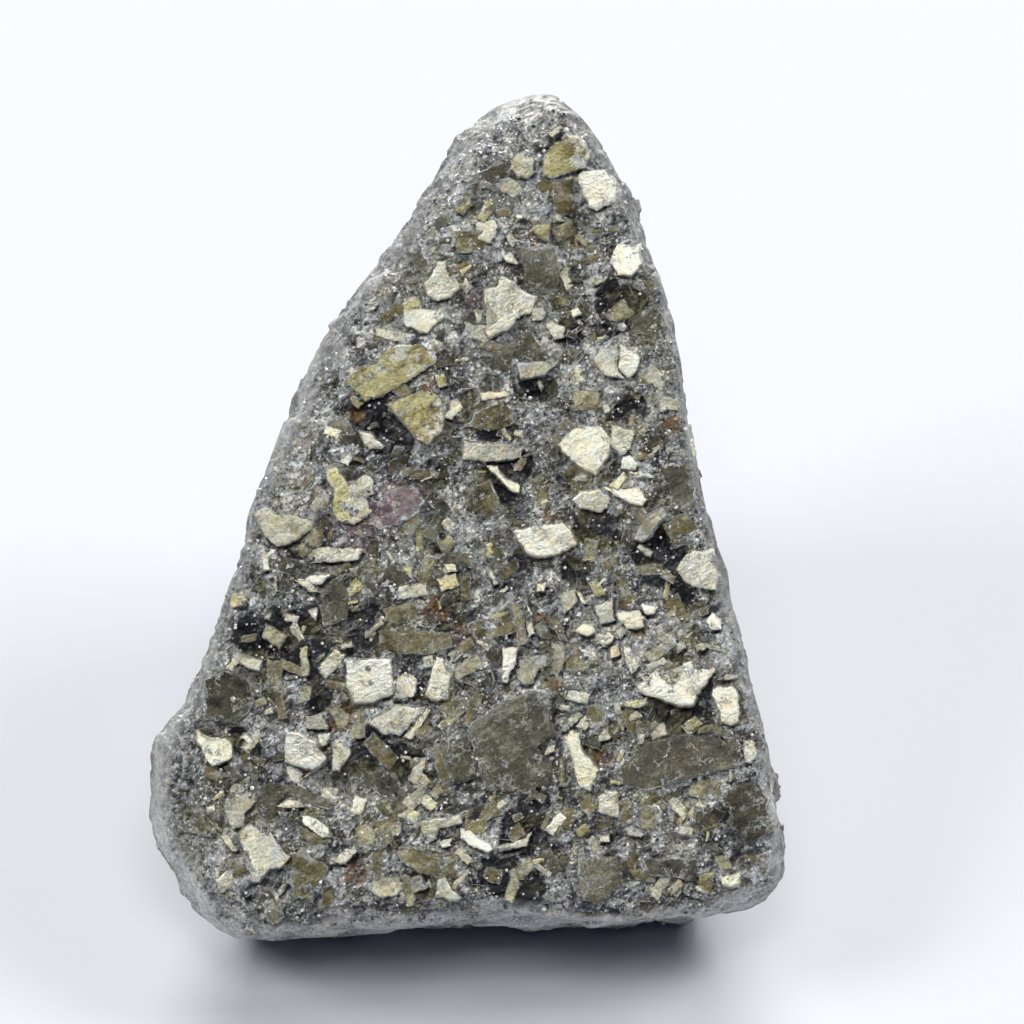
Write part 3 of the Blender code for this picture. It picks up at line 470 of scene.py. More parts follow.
        ((-3.9, -1.2), (-3.1, -1.0), (-2.8, -1.6), (-3.3, -2.2), (-3.7, -1.7)),
        ((-4.6, -2.2), (-3.9, -2.3), (-4.1, -4.2), (-4.7, -3.8)),
        ((-2.6, -3.1), (-2.1, -3.0), (-2.1, -4.4), (-2.6, -4.5)),
        ((-0.1, -4.5), (0.4, -4.6), (0.8, -6.6), (0.3, -6.7)),
        ((5.0, -3.1), (5.55, -3.3), (6.25, -4.4), (6.0, -4.85), (5.3, -4.9), (5.3, -4.0)),
        ((3.65, -10.0), (3.85, -9.65), (4.35, -9.55), (4.7, -9.95), (4.45, -10.5), (4.1, -10.6)),
        ((5.4, -14.4), (6.0, -14.15), (6.1, -15.4), (5.3, -15.6)),
        ((6.3, -14.8), (7.15, -14.8), (7.25, -15.9), (6.4, -15.8)),
        ((10.1, -17.2), (10.8, -17.2), (11.2, -18.0), (10.4, -18.0)),
        ((-10.8, -15.65), (-10.4, -15.75), (-9.1, -16.4), (-9.2, -16.75), (-9.85, -16.7),
         (-10.6, -16.3)),
        ((-11.0, -17.15), (-10.5, -16.85), (-9.2, -17.8), (-9.7, -18.75), (-10.0, -19.4),
         (-11.0, -19.25)),
        ((-9.6, -18.9), (-9.0, -18.6), (-8.8, -19.6), (-9.5, -19.8)),
        ((-4.0, -11.6), (-2.8, -11.6), (-2.6, -13.2), (-3.6, -13.6)),
        ((-12.0, -8.7), (-11.5, -8.6), (-11.3, -10.3), (-11.7, -10.4)),
        ((-10.6, -8.7), (-10.0, -8.7), (-10.1, -9.4), (-10.6, -9.5)),
        ((2.9, 6.1), (4.3, 6.2), (4.4, 5.2), (3.0, 5.0)),
    ),
    "dull": (
        ((0.4, 13.1), (2.2, 13.2), (2.3, 11.35), (1.65, 10.6), (0.65, 11.5)),
        ((-0.2, 8.6), (0.9, 9.0), (1.5, 8.2), (1.2, 7.7), (0.2, 7.6)),
        ((7.4, 2.2), (8.6, 2.4), (9.2, 0.8), (8.8, -0.2), (8.0, 0.3)),
        ((6.0, 9.6), (6.9, 10.1), (7.3, 9.6), (6.6, 8.9), (5.9, 8.8)),
        ((-2.2, -10.7), (-1.05, -9.85), (-0.7, -9.5), (1.1, -9.0), (2.25, -11.1), (1.35, -11.75),
         (1.95, -12.55), (2.05, -13.55), (0.65, -14.0), (-1.25, -13.95), (-1.75, -12.7)),
        ((-3.7, -11.7), (-2.45, -11.2), (-2.25, -11.1), (-1.85, -12.7), (-1.8, -13.3), (-3.05, -13.65)),
        ((5.4, -12.8), (6.65, -11.65), (8.4, -11.15), (10.4, -11.3), (11.5, -12.15), (11.15, -12.8),
         (9.4, -13.15), (6.9, -13.9), (5.5, -13.65)),
        ((3.35, -17.3), (5.3, -17.15), (5.4, -18.65), (4.4, -19.65), (3.35, -19.4)),
        ((6.4, -17.25), (9.25, -17.4), (9.15, -18.5), (6.9, -18.15)),
        ((10.8, -13.9), (12.15, -13.4), (12.8, -14.4), (12.65, -16.15), (11.65, -16.65),
         (10.9, -15.15)),
        ((-15.35, -8.4), (-13.6, -7.65), (-12.85, -9.4), (-13.6, -10.65), (-15.35, -10.4)),
        ((-12.9, -13.9), (-12.1, -13.5), (-11.0, -13.6), (-9.6, -14.1), (-8.8, -14.6), (-9.2, -14.9),
         (-10.3, -14.6), (-11.3, -14.2), (-11.7, -14.8), (-11.9, -15.8), (-12.5, -15.5),
         (-12.8, -14.8)),
        ((-7.35, -12.9), (-5.85, -13.0), (-5.6, -13.9), (-6.35, -14.25), (-7.5, -13.65)),
        ((-9.7, -4.6), (-8.3, -4.4), (-8.2, -5.4), (-9.4, -5.7)),
        ((7.4, -14.3), (8.2, -13.7), (8.6, -14.0), (7.8, -14.8)),
    ),
    "purple": (
        ((-7.3, -0.5), (-6.86, 0.5), (-6.02, 1.1), (-5.0, 1.33), (-4.34, 0.49), (-4.84, -0.19),
         (-6.0, -0.69), (-6.7, -0.86)),
    ),
}
NEAR_REACH = 1.0  # millimetres round a crystal where its distance is worked out
FAR_AWAY = 9.0
NEARLY_ZERO = 1e-9


def outline_distance(places, outline):
    """Distance from each place (x, t) to an outline, below zero inside it."""
    closed = np.array(outline + outline[:1], dtype=float)
    nearest = np.full(len(places), np.inf)
    inside = np.zeros(len(places), dtype=bool)
    for start, end in zip(closed, closed[1:]):
        side = end - start
        away = places - start
        along = np.clip(away @ side / max(side @ side, NEARLY_ZERO), 0.0, 1.0)
        nearest = np.minimum(nearest, np.linalg.norm(away - along[:, None] * side, axis=1))
        spans = (start[1] > places[:, 1]) != (end[1] > places[:, 1])
        rise = side[1] if abs(side[1]) > NEARLY_ZERO else NEARLY_ZERO
        crossing = start[0] + (places[:, 1] - start[1]) * side[0] / rise
        inside ^= spans & (places[:, 0] < crossing)
    return np.where(inside, -nearest, nearest)


def crystal_distance(places, tones=tuple(FACE_CRYSTALS)):
    """Distance from each place (x, t) to the nearest crystal of these tones, below zero under one."""
    nearest = np.full(len(places), FAR_AWAY)
    for outline in itertools.chain.from_iterable(FACE_CRYSTALS[tone] for tone in tones):
        corners = np.array(outline)
        low, high = corners.min(axis=0) - NEAR_REACH, corners.max(axis=0) + NEAR_REACH
        near = np.flatnonzero(((places > low) & (places < high)).all(axis=1))
        nearest[near] = np.minimum(nearest[near], outline_distance(places[near], outline))
    return nearest


# ---------------------------------------------------------------------------
# The granular mass. It is the chunk itself without its large crystals: broken grains of three
# sizes, with cracks between them and gaps beside the crystals that stand in it.
WELD = 0.005
MASS_VOXEL = 0.42
FRONT_LEAN, FRONT_DEPTH = 0.25, -2.6  # least w of the normal and of the place of a finely cut face
RIM_LEAN, RIM_DEPTH = -0.1, -5.0  # the same for the rim round the broad face
MASS_ROUNDS = 3  # rounds of smoothing before the grains are broken into the surface
CHART_ROUNDS = 60  # rounds of smoothing for the map that the surface is drawn on
CHART_MIDDLE = (-1.5, -7.0, -9.0)
FRONT_GRAINS = ((1.7, 0.14), (0.75, 0.20), (0.36, 0.12))  # grain width, height of its steps
FLANK_GRAINS = ((2.1, 0.28), (0.9, 0.22), (0.45, 0.16))
FRONT_SINK = 0.08
FLANK_SWELL = 0.16  # makes up for the smoothing of the flanks
FLANK_CALM = 0.8  # share of the flank relief that is left next to the face
# The gap beside a crystal is sunk into the mass and painted as shadow; it lies on the crystal's lower
# side.
GAP_SHIFT = (-0.08, 0.19)  # a crystal's gap is on its lower side
GAP_TONES = ("white", "bright", "pale", "gold")
GAP_DEPTH = 0.20
BLACK_DEPTH = 0.15
BED_DEPTH = 0.14  # how far the mass is lowered under a crystal
CRACKS = ((1.7, 0.86), (0.8, 0.84))  # width of the grains between the cracks, and their narrowness
CRACK_DEPTH = 0.16
# Cracks are painted with shade, at this share of a gap's painted shadow.
CRACK_SHADE = 0.45  # how dark a crack is, next to a gap
SPOT_RAGGED = 0.35  # how ragged a zone's edge is, over its radius
SPOT_RAGS = 0.7

# Zones of the broad face: middle x and t, radius
BLACK_SPOTS = (
    (5.4, 10.2, 1.35), (-6.0, 4.3, 0.9), (-5.3, 3.7, 0.7), (-8.0, -5.6, 1.5), (-10.0, -5.9, 1.4),
    (-12.0, -7.2, 1.6), (-13.2, -6.0, 1.0), (9.0, -9.9, 1.6), (7.5, -10.2, 1.0), (10.8, -10.2, 0.8),
    (-0.7, 1.5, 1.1), (0.3, 2.2, 0.7), (4.0, -0.6, 1.2), (5.8, -0.9, 1.0), (7.6, -2.2, 1.5),
    (3.0, -3.0, 0.8), (1.5, 6.3, 0.9), (-4.6, -18.7, 0.7), (-7.2, -11.9, 1.1), (-5.2, -12.6, 0.9),
    (0.4, -16.1, 1.3), (-0.6, -18.5, 1.2), (0.7, -19.0, 1.0), (3.9, -12.05, 0.45), (10.15, -19.85, 0.3),
    (-11.3, -6.9, 1.8), (1.2, -14.9, 1.0), (6.0, 5.2, 0.8), (-3.7, -1.7, 0.35), (2.9, 8.9, 0.8),
    (-3.4, -5.2, 0.8), (-7.0, 4.6, 1.1), (-4.0, 1.9, 0.9), (0.8, -2.4, 0.8), (8.6, -4.3, 0.6),
    (9.5, -6.2, 0.6), (-8.6, -4.9, 0.8), (-9.6, -2.1, 0.5), (-10.8, -1.9, 0.6), (-8.6, -13.4, 0.6),
    (-13.4, -11.6, 0.9), (-9.6, -9.4, 0.6), (-1.0, 6.2, 0.6), (3.2, 11.8, 0.8), (-5.5, 3.2, 0.8),
    (-1.2, 4.2, 0.7), (1.4, -2.4, 0.7), (-6.8, -4.6, 0.8), (-14.6, -12.9, 0.7), (-12.7, -18.9, 0.8),
    (7.4, -11.4, 0.9),
)
SILVER_SPOTS = (
    (-2.8, 8.7, 1.6), (-1.0, 7.2, 1.2), (-4.2, 2.9, 0.9), (3.4, 6.8, 1.1), (4.9, 6.3, 1.1),
    (9.4, -14.6, 1.4), (8.9, -12.3, 0.7), (-6.5, -3.3, 1.6), (-5.6, -1.6, 1.0), (-8.8, -5.9, 0.8),
    (-12.6, -8.3, 0.6), (-11.3, -8.4, 0.7), (3.6, 12.3, 1.3), (1.5, 9.3, 0.8), (-3.6, 14.0, 1.4),
    (-1.9, 13.4, 1.2), (0.0, 15.0, 1.0), (5.8, 7.6, 0.8), (7.3, 6.4, 1.0), (8.3, 1.4, 0.8),
    (6.3, 2.0, 0.7), (-13.6, -13.0, 1.0), (-9.0, -14.3, 1.3), (-10.5, 1.2, 1.2), (-11.6, -2.4, 1.1),
    (1.7, -2.9, 0.9), (4.3, -5.2, 1.0), (6.9, -6.6, 0.9), (8.0, -16.2, 1.0), (2.3, -15.3, 0.8),
    (-2.0, -17.6, 1.0), (-6.2, -17.8, 0.9), (10.6, -7.2, 0.8), (9.7, -5.6, 0.7), (-12.3, -19.3, 0.8),
    (-14.2, -16.5, 0.8), (12.6, -17.9, 0.7), (-7.5, 9.6, 1.1), (-6.2, 11.2, 0.9), (-2.6, 15.7, 1.9),
    (-0.8, 16.3, 1.1), (-0.9, 14.9, 1.3), (1.9, 14.2, 0.9), (-5.0, 12.3, 0.9), (-4.2, 13.6, 1.3),
    (-4.6, -0.9, 1.2), (-3.2, 0.1, 1.2), (-6.4, -2.6, 1.3), (-1.4, -0.4, 0.9), (5.6, -6.6, 1.2),
    (1.2, -8.9, 1.0), (3.4, -7.6, 1.3), (7.8, -5.9, 0.9), (2.6, 16.9, 0.7), (9.8, -9.9, 0.8),
    (-8.9, 8.0, 0.9), (-6.0, 9.0, 0.9), (7.1, 5.0, 0.9), (5.9, -1.0, 0.8), (-9.4, 0.0, 0.8),
    (-9.8, 4.1, 1.1), (6.6, 5.4, 0.9), (8.3, -15.0, 1.1), (-13.4, -4.3, 0.8), (-14.0, -17.5, 1.2),
    (-6.6, -14.6, 0.8), (2.2, 7.6, 0.8), (1.4, 19.6, 0.9), (-9.6, -13.6, 0.9),
)
OLIVE_SPOTS = (
    (-5.6, -5.6, 1.2), (1.9, -6.8, 1.4), (3.2, -1.9, 1.0), (-13.3, -8.6, 1.6), (-6.6, -14.0, 1.6),
    (-4.2, -14.0, 1.1), (7.2, -12.7, 1.6), (2.0, 10.6, 0.9), (6.6, 9.0, 0.9), (8.5, 1.0, 1.2),
    (-1.6, 5.0, 1.1), (-8.2, -3.9, 1.0), (-10.2, -15.7, 1.3), (-4.5, -17.4, 1.0), (12.1, -15.2, 1.2),
    (-3.0, -3.6, 1.0), (-1.0, -1.9, 0.8), (2.4, 13.9, 0.9), (-11.9, -9.5, 0.9), (6.9, 4.0, 0.8),
    (4.7, -7.6, 0.8), (0.2, -5.6, 0.9),
)
ORANGE_SPOTS = (
    (1.3, 14.0, 0.55), (3.1, 13.6, 0.45), (-3.9, -4.9, 0.75), (-2.5, -6.4, 0.65), (-8.3, -10.3, 0.8),
    (-4.6, -9.4, 0.35), (8.0, 4.4, 0.65), (6.4, -6.0, 0.4), (-4.9, -19.1, 0.35), (1.75, -0.15, 0.4),
    (-9.6, 0.9, 0.5), (-7.8, 4.9, 0.45), (-3.2, 11.9, 0.35), (-7.6, -0.7, 0.5), (9.6, 0.4, 0.5),
    (-5.6, -17.0, 0.4), (4.7, -12.3, 0.45), (1.5, -5.3, 0.4), (-7.8, -18.1, 0.6), (-2.0, 10.3, 0.3),
    (-5.0, 7.0, 0.4), (-4.2, 6.2, 0.35), (2.1, -8.6, 0.45), (-10.2, -12.8, 0.4),
)
PURPLE_SPOTS = (
    (-5.6, 0.3, 1.5), (-7.4, -1.4, 0.9), (-9.4, -0.6, 0.6), (-1.9, 10.6, 0.4),
)


def grid_values(cells, seed):
    """Three repeatable random values from 0 to 1 for each row of whole numbers."""
    mixed = cells.astype(np.int64) @ np.array([73856093, 19349663, 83492791]) + seed * 374761393
    values = []
    for turn in range(3):
        key = (mixed + turn * 668265263) & 0xFFFFFFFF
        key = ((key ^ (key >> 15)) * 2246822519) & 0xFFFFFFFF
        key = ((key ^ (key >> 13)) * 3266489917) & 0xFFFFFFFF
        values.append(((key ^ (key >> 16)) & 0xFFFFFF) / 0xFFFFFF)
    return np.stack(values, axis=1)


def grid_noise(points, seed):
    """Smooth noise from 0 to 1 with blotches one unit wide."""
    grid = np.floor(points).astype(np.int64)
    part = points - grid
    part = part * part * (3.0 - 2.0 * part)
    total = np.zeros(len(points))
    for corner in itertools.product((0, 1), repeat=3):
        share = np.prod(np.where(np.array(corner) == 1, part, 1.0 - part), axis=1)
        total += share * grid_values(grid + np.array(corner), seed)[:, 0]
    return total


def grain_cells(points, size, seed):
    """The grain that each point lies in: offset from its centre and its three random values."""
    grid = np.floor(points / size).astype(np.int64)
    nearest = np.full(len(points), np.inf)
    offset = np.zeros_like(points)
    chosen = np.zeros_like(grid)
    for step in itertools.product((-1, 0, 1), repeat=3):
        cells = grid + np.array(step)
        away = points - (cells + grid_values(cells, seed)) * size
        distance = (away * away).sum(axis=1)
        closer = distance < nearest
        nearest[closer] = distance[closer]
        offset[closer] = away[closer]
        chosen[closer] = cells[closer]
    return offset, grid_values(chosen, seed + 1)


def grain_height(points, size, seed):
    """Height over the mass of one size of broken grains, as a share of that size, and their values."""
    offset, values = grain_cells(points, size, seed)
    slope = grid_values(np.round(values * 1e6), seed + 2) - 0.5
    return values[:, 0] - 0.5 + (offset * slope).sum(axis=1) / size, values


def blotches(places, spots):
    """1 inside any of the round spots (x, t, radius) and 0 well outside, with ragged edges."""
    wobble = grid_noise(np.column_stack([places, np.zeros(len(places))]) / SPOT_RAGS, 11)
    share = np.zeros(len(places))
    for x, t, radius in spots:
        away = np.hypot(places[:, 0] - x, places[:, 1] - t) / radius
        away = away + SPOT_RAGGED * (wobble - 0.5) * 2.0
        share = np.maximum(share, 1.0 - smooth_step(0.75, 1.1, away))
    return share


def read_places(mesh, source="vertices", name="co"):
    numbers = np.empty(len(getattr(mesh, source)) * 3)
    getattr(mesh, source).foreach_get(name, numbers)
    return numbers.reshape(-1, 3)


def write_places(mesh, places):
    mesh.vertices.foreach_set("co", places.ravel())
    mesh.update()


def add_values(mesh, name, values):
    mesh.attributes.new(name, "FLOAT", "POINT").data.foreach_set("value", values.astype(np.float32))


def fine_chunk():
    """The chunk as an even mesh in the face frame, with smaller faces on the broad face."""
    shape = bmesh.new()
    shape.from_mesh(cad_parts["pyrite_chunk"].data)
    bmesh.ops.remove_doubles(shape, verts=shape.verts[:], dist=WELD * MM)
    mesh = bpy.data.meshes.new("pyrite_mass")
    shape.to_mesh(mesh)
    mesh.transform(world_to_face)
    lump = bpy.data.objects.new("lump", mesh)
    bpy.context.scene.collection.objects.link(lump)
    even = lump.modifiers.new("even", "REMESH")
    even.mode = "VOXEL"
    even.voxel_size = MASS_VOXEL
    baked = bpy.data.meshes.new_from_object(lump.evaluated_get(bpy.context.evaluated_depsgraph_get()))
    bpy.data.objects.remove(lump)
    shape.clear()
    shape.from_mesh(baked)
    cut_faces(shape)
    shape.to_mesh(baked)
    shape.free()
    return baked


def cut_faces(shape):
    """Cuts the faces of the broad face in three and those of its rim in two, each way."""
    def leaning(least, depth):
        return {
            face for face in shape.faces
            if face.normal.z > least and face.calc_center_median().z > depth
        }

    front = leaning(FRONT_LEAN, FRONT_DEPTH)
    edges = list({edge for face in front for edge in face.edges})
    rim = leaning(RIM_LEAN, RIM_DEPTH) - front
    rim_edges = list({edge for face in rim for edge in face.edges}.difference(edges))
    bmesh.ops.subdivide_edges(shape, edges=rim_edges, cuts=1, use_grid_fill=True)
    left = [edge for edge in edges if edge.is_valid]
    bmesh.ops.subdivide_edges(shape, edges=left, cuts=2, use_grid_fill=True)
    bmesh.ops.triangulate(shape, faces=[face for face in shape.faces if len(face.verts) > 4])


def relaxed(places, edges, rounds):
    """The places after rounds of moving each half way to the middle of its neighbours."""
    count = len(places)
    degree = np.bincount(edges.ravel(), minlength=count)[:, None]
    for _ in range(rounds):
        total = np.empty_like(places)
        for axis in range(3):
            total[:, axis] = np.bincount(edges[:, 0], places[edges[:, 1], axis], count)
            total[:, axis] += np.bincount(edges[:, 1], places[edges[:, 0], axis], count)
        places = 0.5 * places + 0.5 * total / degree
    return places


def chart_places(places):
    """Where places lie on the map: the broad face on the left, the rest as a disc on the right."""
    front = np.column_stack([(places[:, 0] + 18.8) / 33.5 * 0.66, (places[:, 1] + 22.2) / 44.2])
    away = places - np.array(CHART_MIDDLE)
    away /= np.linalg.norm(away, axis=1)[:, None]
    turn = np.arccos(np.clip(-away[:, 2], -1.0, 1.0)) / (0.78 * math.pi)
    flat = np.maximum(np.linalg.norm(away[:, :2], axis=1), 1e-6)
    rest = np.column_stack([
        0.83 + 0.16 * turn * away[:, 0] / flat, 0.5 + 0.49 * turn * away[:, 1] / flat
    ])
    return front, rest


def add_map(mesh, vertex_maps, second):
    """Writes the map of a mesh: each face takes the first chart, or the second where told."""
    corners = np.empty(len(mesh.loops), dtype=np.int64)
    mesh.loops.foreach_get("vertex_index", corners)
    sides = np.empty(len(mesh.polygons), dtype=np.int64)
    mesh.polygons.foreach_get("loop_total", sides)
    takes_second = np.repeat(second, sides)[:, None]
    layer = mesh.uv_layers.new(name="OFBake")
    chosen = np.where(takes_second, vertex_maps[1][corners], vertex_maps[0][corners])
    layer.uv.foreach_set("vector", chosen.astype(np.float32).ravel())


def cracks_at(points):
    """1 along the winding cracks between the grains and 0 elsewhere."""
    deep = np.zeros(len(points))
    for order, (size, narrow) in enumerate(CRACKS):
        ridge = 1.0 - np.abs(2.0 * grid_noise(points / size, 91 + order) - 1.0)
        broken = smooth_step(0.45, 0.60, grid_noise(points / (1.6 * size), 95 + order))
        deep = np.maximum(deep, smooth_step(narrow, 0.99, ridge) * broken)
    return deep


def grain_relief(mesh, ground, front):
    """Height of the three sizes of grains, whose values are written on the mesh for its paint."""
    flank = 1.0 - front
    calm = FLANK_CALM + (1.0 - FLANK_CALM) * smooth_step(4.0, 9.0, -ground[:, 2])
    height = np.zeros(len(ground))
    for order, name in enumerate(("coarse_grain", "middle_grain", "fine_grain")):
        size, step = FRONT_GRAINS[order]
        raised, front_values = grain_height(ground, size, 20 + order)
        height += front * step * raised
        size, step = FLANK_GRAINS[order]
        raised, flank_values = grain_height(ground, size, 40 + order)
        height += flank * calm * step * raised
        if name != "fine_grain":
            add_values(mesh, name, np.where(front > 0.5, front_values[:, 1], flank_values[:, 1]))
    return height


def granular_mass():
    """The mass as a mesh in the face frame, with its grains, cracks and gaps."""
    mesh = fine_chunk()
    edges = np.empty(len(mesh.edges) * 2, dtype=np.int64)
    mesh.edges.foreach_get("vertices", edges)
    edges = edges.reshape(-1, 2)
    ground = relaxed(read_places(mesh), edges, MASS_ROUNDS)
    chart = relaxed(ground, edges, CHART_ROUNDS)
    write_places(mesh, chart)
    facing = read_places(mesh, "vertices", "normal")
    depths = read_places(mesh, "polygons", "center")[:, 2]
    off_face = (read_places(mesh, "polygons", "normal")[:, 2] <= 0.6) | (depths <= -3.5)
    add_map(mesh, chart_places(chart), off_face)
    front = smooth_step(0.35, 0.62, facing[:, 2]) * smooth_step(-2.6, -1.6, ground[:, 2])
    flank = 1.0 - front
    face_places = ground[:, :2]
    under = crystal_distance(face_places)
    shaded = crystal_distance(face_places + np.array(GAP_SHIFT), GAP_TONES)
    # The gap is sunk into the mass and painted with shadow.
    gap_and_shadow = (under > 0.0) * (1.0 - smooth_step(-0.12, 0.06, shaded)) * front
    # Black zones are sunk and painted darker: partly the matrix's own dark tone, partly painted shade in
    # these hollows.
    black = blotches(face_places, BLACK_SPOTS) * front
    crack = cracks_at(ground) * front * smooth_step(-0.05, 0.10, under)
    height = grain_relief(mesh, ground, front)
    height -= BLACK_DEPTH * black + GAP_DEPTH * gap_and_shadow + CRACK_DEPTH * crack
    height -= front * BED_DEPTH * (1.0 - smooth_step(-0.25, 0.0, under))
    height = np.clip(height - FRONT_SINK * front + FLANK_SWELL * flank, -1.2, 0.10 + 0.15 * flank)
    base = height_over_base(ground) < 0.35
    height[base] = np.minimum(height[base], 0.0)
    write_places(mesh, ground + facing * height[:, None])
    zones = {
        "silver": SILVER_SPOTS, "olive": OLIVE_SPOTS, "orange": ORANGE_SPOTS, "purple": PURPLE_SPOTS,
    }
    for name, spots in zones.items():
        add_values(mesh, name, blotches(face_places, spots) * front)
    add_values(mesh, "black", black)
    # This paint mask carries the gaps' painted shadow and the cracks' painted shade.
    add_values(mesh, "gap_and_shadow", np.maximum(gap_and_shadow, CRACK_SHADE * crack))
    add_values(mesh, "front", front)
    # Masks for painted light on the low part (low) and painted shade behind (back) and on right-facing
    # flanks (right).
    add_values(mesh, "low", smooth_step(8.0, 17.0, -ground[:, 1]))
    add_values(mesh, "right", smooth_step(0.10, 0.60, facing[:, 0]) * flank)
    add_values(mesh, "back", 1.0 - smooth_step(-0.30, 0.30, facing[:, 2]))
    return mesh


def height_over_base(places):
    """Height in millimetres above the flat base of places in the face frame."""
    return FACE_ORIGIN.z + math.sin(FACE_LEAN) * places[:, 1] + math.cos(FACE_LEAN) * places[:, 2]


# Tones of the dust and hollows, from dark to light, and of the grains, the stains and the dull skin
HOLLOW_TONES = (colour(0.046, 0.046, 0.055), colour(0.38, 0.38, 0.385))
SILVER_TONES = (colour(0.32, 0.325, 0.33), colour(0.76, 0.77, 0.76))
THREAD_TONE = colour(0.66, 0.69, 0.73)
PAINTED_GLINT_TONE = colour(0.98, 0.98, 0.95)
COOL_DYE, PLAIN_DYE, TAN_DYE = colour(0.94, 1.0, 1.0), colour(1.0, 1.0, 0.95), colour(1.10, 1.0, 0.82)
BROWN_TONES = (colour(0.045, 0.040, 0.026), colour(0.17, 0.16, 0.105))
OLIVE_TONES = (colour(0.075, 0.070, 0.040), colour(0.32, 0.31, 0.19))
RUST_TONE = colour(0.25, 0.135, 0.048)
PURPLE_TONE = colour(0.24, 0.15, 0.17)
# Painted shadow for the gaps beside crystals, and painted shade for the cracks
GAP_SHADOW_TONE = colour(0.018, 0.018, 0.023)
SKIN_TONES = (colour(0.27, 0.27, 0.27), colour(0.58, 0.585, 0.585))
SKIN_OLIVE = colour(0.24, 0.23, 0.19)
SKIN_BEADS = colour(0.68, 0.675, 0.66)
SKIN_PITS = colour(0.15, 0.15, 0.15)
CRUMB_SIZE = 0.15
PAINTED_GLINT_SIZE = 0.10


def crumbs_of(shade, cover, size=CRUMB_SIZE):
    """1 on the silvery crumbs and 0 between them; cover is the share of the surface that they take."""
    grain = shade.noise(size, 2.5, 0.6)
    return (grain + cover * 0.26).between(0.60, 0.68)


def dyes(shade):
    """A faint dye that drifts from cool grey to warm tan."""
    hue = shade.noise(0.55, 4.0, 0.7)
    dye = hue.between(0.34, 0.50).mix(COOL_DYE, PLAIN_DYE)
    return hue.between(0.50, 0.68).mix(dye, TAN_DYE)


def matrix_paint(shade, density):
    """Dark hollows under silver crumbs, which crowd together where the density is near 1, with a few
    painted glints where they crowd.
    """
    shadow = density.mix(*HOLLOW_TONES)
    shadow = shadow.times(0.55 + 0.9 * shade.noise(0.30, 4.0, 0.7).between(0.32, 0.68))
    crumbs = crumbs_of(shade, density * 1.25 - 0.22)
    silver = shade.noise(0.30, 3.0, 0.65).between(0.36, 0.68).mix(*SILVER_TONES)
    paint = crumbs.mix(shadow, silver)
    crowding = (density * 0.3 + shade.noise(0.9, 3.0)).between(0.50, 0.72)
    threads = shade.wisps(0.50, 0.90, 0.97, 1.2) * crowding
    paint = (threads * 0.75).mix(paint, THREAD_TONE)
    # Painted highlights: rare near-white specks that stand in for glints, mostly where the crumbs crowd.
    painted_glints = (shade.cell_value(PAINTED_GLINT_SIZE) + 0.10 * density).between(1.02, 1.05)
    return painted_glints.mix(paint, PAINTED_GLINT_TONE).dyed(dyes(shade)), crumbs


def crust_density(shade):
    """Where the silver crumbs crowd: clouds with streaks that rise a little to the right."""
    slanting = shade.noise(0.50, 5.0, 0.65, shade.places(-24.0, (2.6, 0.8, 1.0)))
    return (shade.noise(1.5, 5.0, 0.62) * 0.5 + slanting * 0.5 - 0.38) * 5.0


def ground_paint(shade, glassy):
    """The ground of the broad face: silver crust, brown and olive grains, stains, painted shadow in the
    gaps and painted shade in the cracks.
    """
    black, silver = shade.attribute("black"), shade.attribute("silver")
    density = (crust_density(shade) + silver * 0.65 - black * 0.75).between(0.05, 0.95)
    paint, crumbs = matrix_paint(shade, density)
    rags = shade.noise(0.35, 5.0, 0.65)
    middle = shade.attribute("middle_grain") + rags * 0.5
    brown = glassy.between(0.35, 0.65).mix(*BROWN_TONES)
    paint = (middle.between(0.98, 1.08) * (1.0 - crumbs * 0.55)).mix(paint, brown)
    coarse = shade.attribute("coarse_grain") + rags * 0.5
    olive = glassy.between(0.35, 0.65).mix(*OLIVE_TONES)
    wide = (coarse.between(0.96, 1.06) + shade.attribute("olive")).between(0.2, 0.9)
    paint = (wide * (1.0 - crumbs * 0.6)).mix(paint, olive)
    # Black zones are painted darker, partly as painted shade in their hollows.
    paint = paint.times(1.0 - 0.35 * black + 0.12 * silver)
    stain = rags.between(0.30, 0.60)
    paint = (shade.attribute("orange") * 0.9 * stain).mix(paint, RUST_TONE)
    paint = (shade.attribute("purple") * 0.7 * stain).mix(paint, PURPLE_TONE)
    # The gaps beside crystals are painted as shadow and the cracks as shade.
    return (shade.attribute("gap_and_shadow") * 0.95).mix(paint, GAP_SHADOW_TONE), crumbs


def skin_paint(shade, beads):
    """The dull dusty skin of the flanks and the back: painted shade makes it darkest behind and darker
    where it faces right, and painted light makes it lighter low down.
    """
    mottle = shade.noise(1.3, 4.0, 0.55)
    skin = mottle.between(0.36, 0.62).mix(*SKIN_TONES)
    skin = (shade.noise(0.9, 4.0, 0.65).between(0.52, 0.66) * 0.8).mix(skin, SKIN_OLIVE)
    # Pale beads on the raised spots and dark pits in the low ones: partly the skin's own mottle, partly
    # painted light on the bumps and painted shade in the pits.
    skin = (beads.between(0.54, 0.64) * 0.6).mix(skin, SKIN_BEADS)
    skin = ((1.0 - beads).between(0.56, 0.68) * 0.7).mix(skin, SKIN_PITS)
    crust, _ = matrix_paint(shade, mottle.between(0.30, 0.60) * 0.7 + 0.3)
    skin = (0.35 + 0.3 * beads.between(0.4, 0.6)).mix(skin, crust)
    # Painted light on the low part, painted shade behind and on the flanks that face right.
    skin = skin.times((0.82 + 0.24 * shade.attribute("low")) * (1.0 - 0.52 * shade.attribute("back")))
    return skin.times(1.0 - 0.18 * shade.attribute("right"))


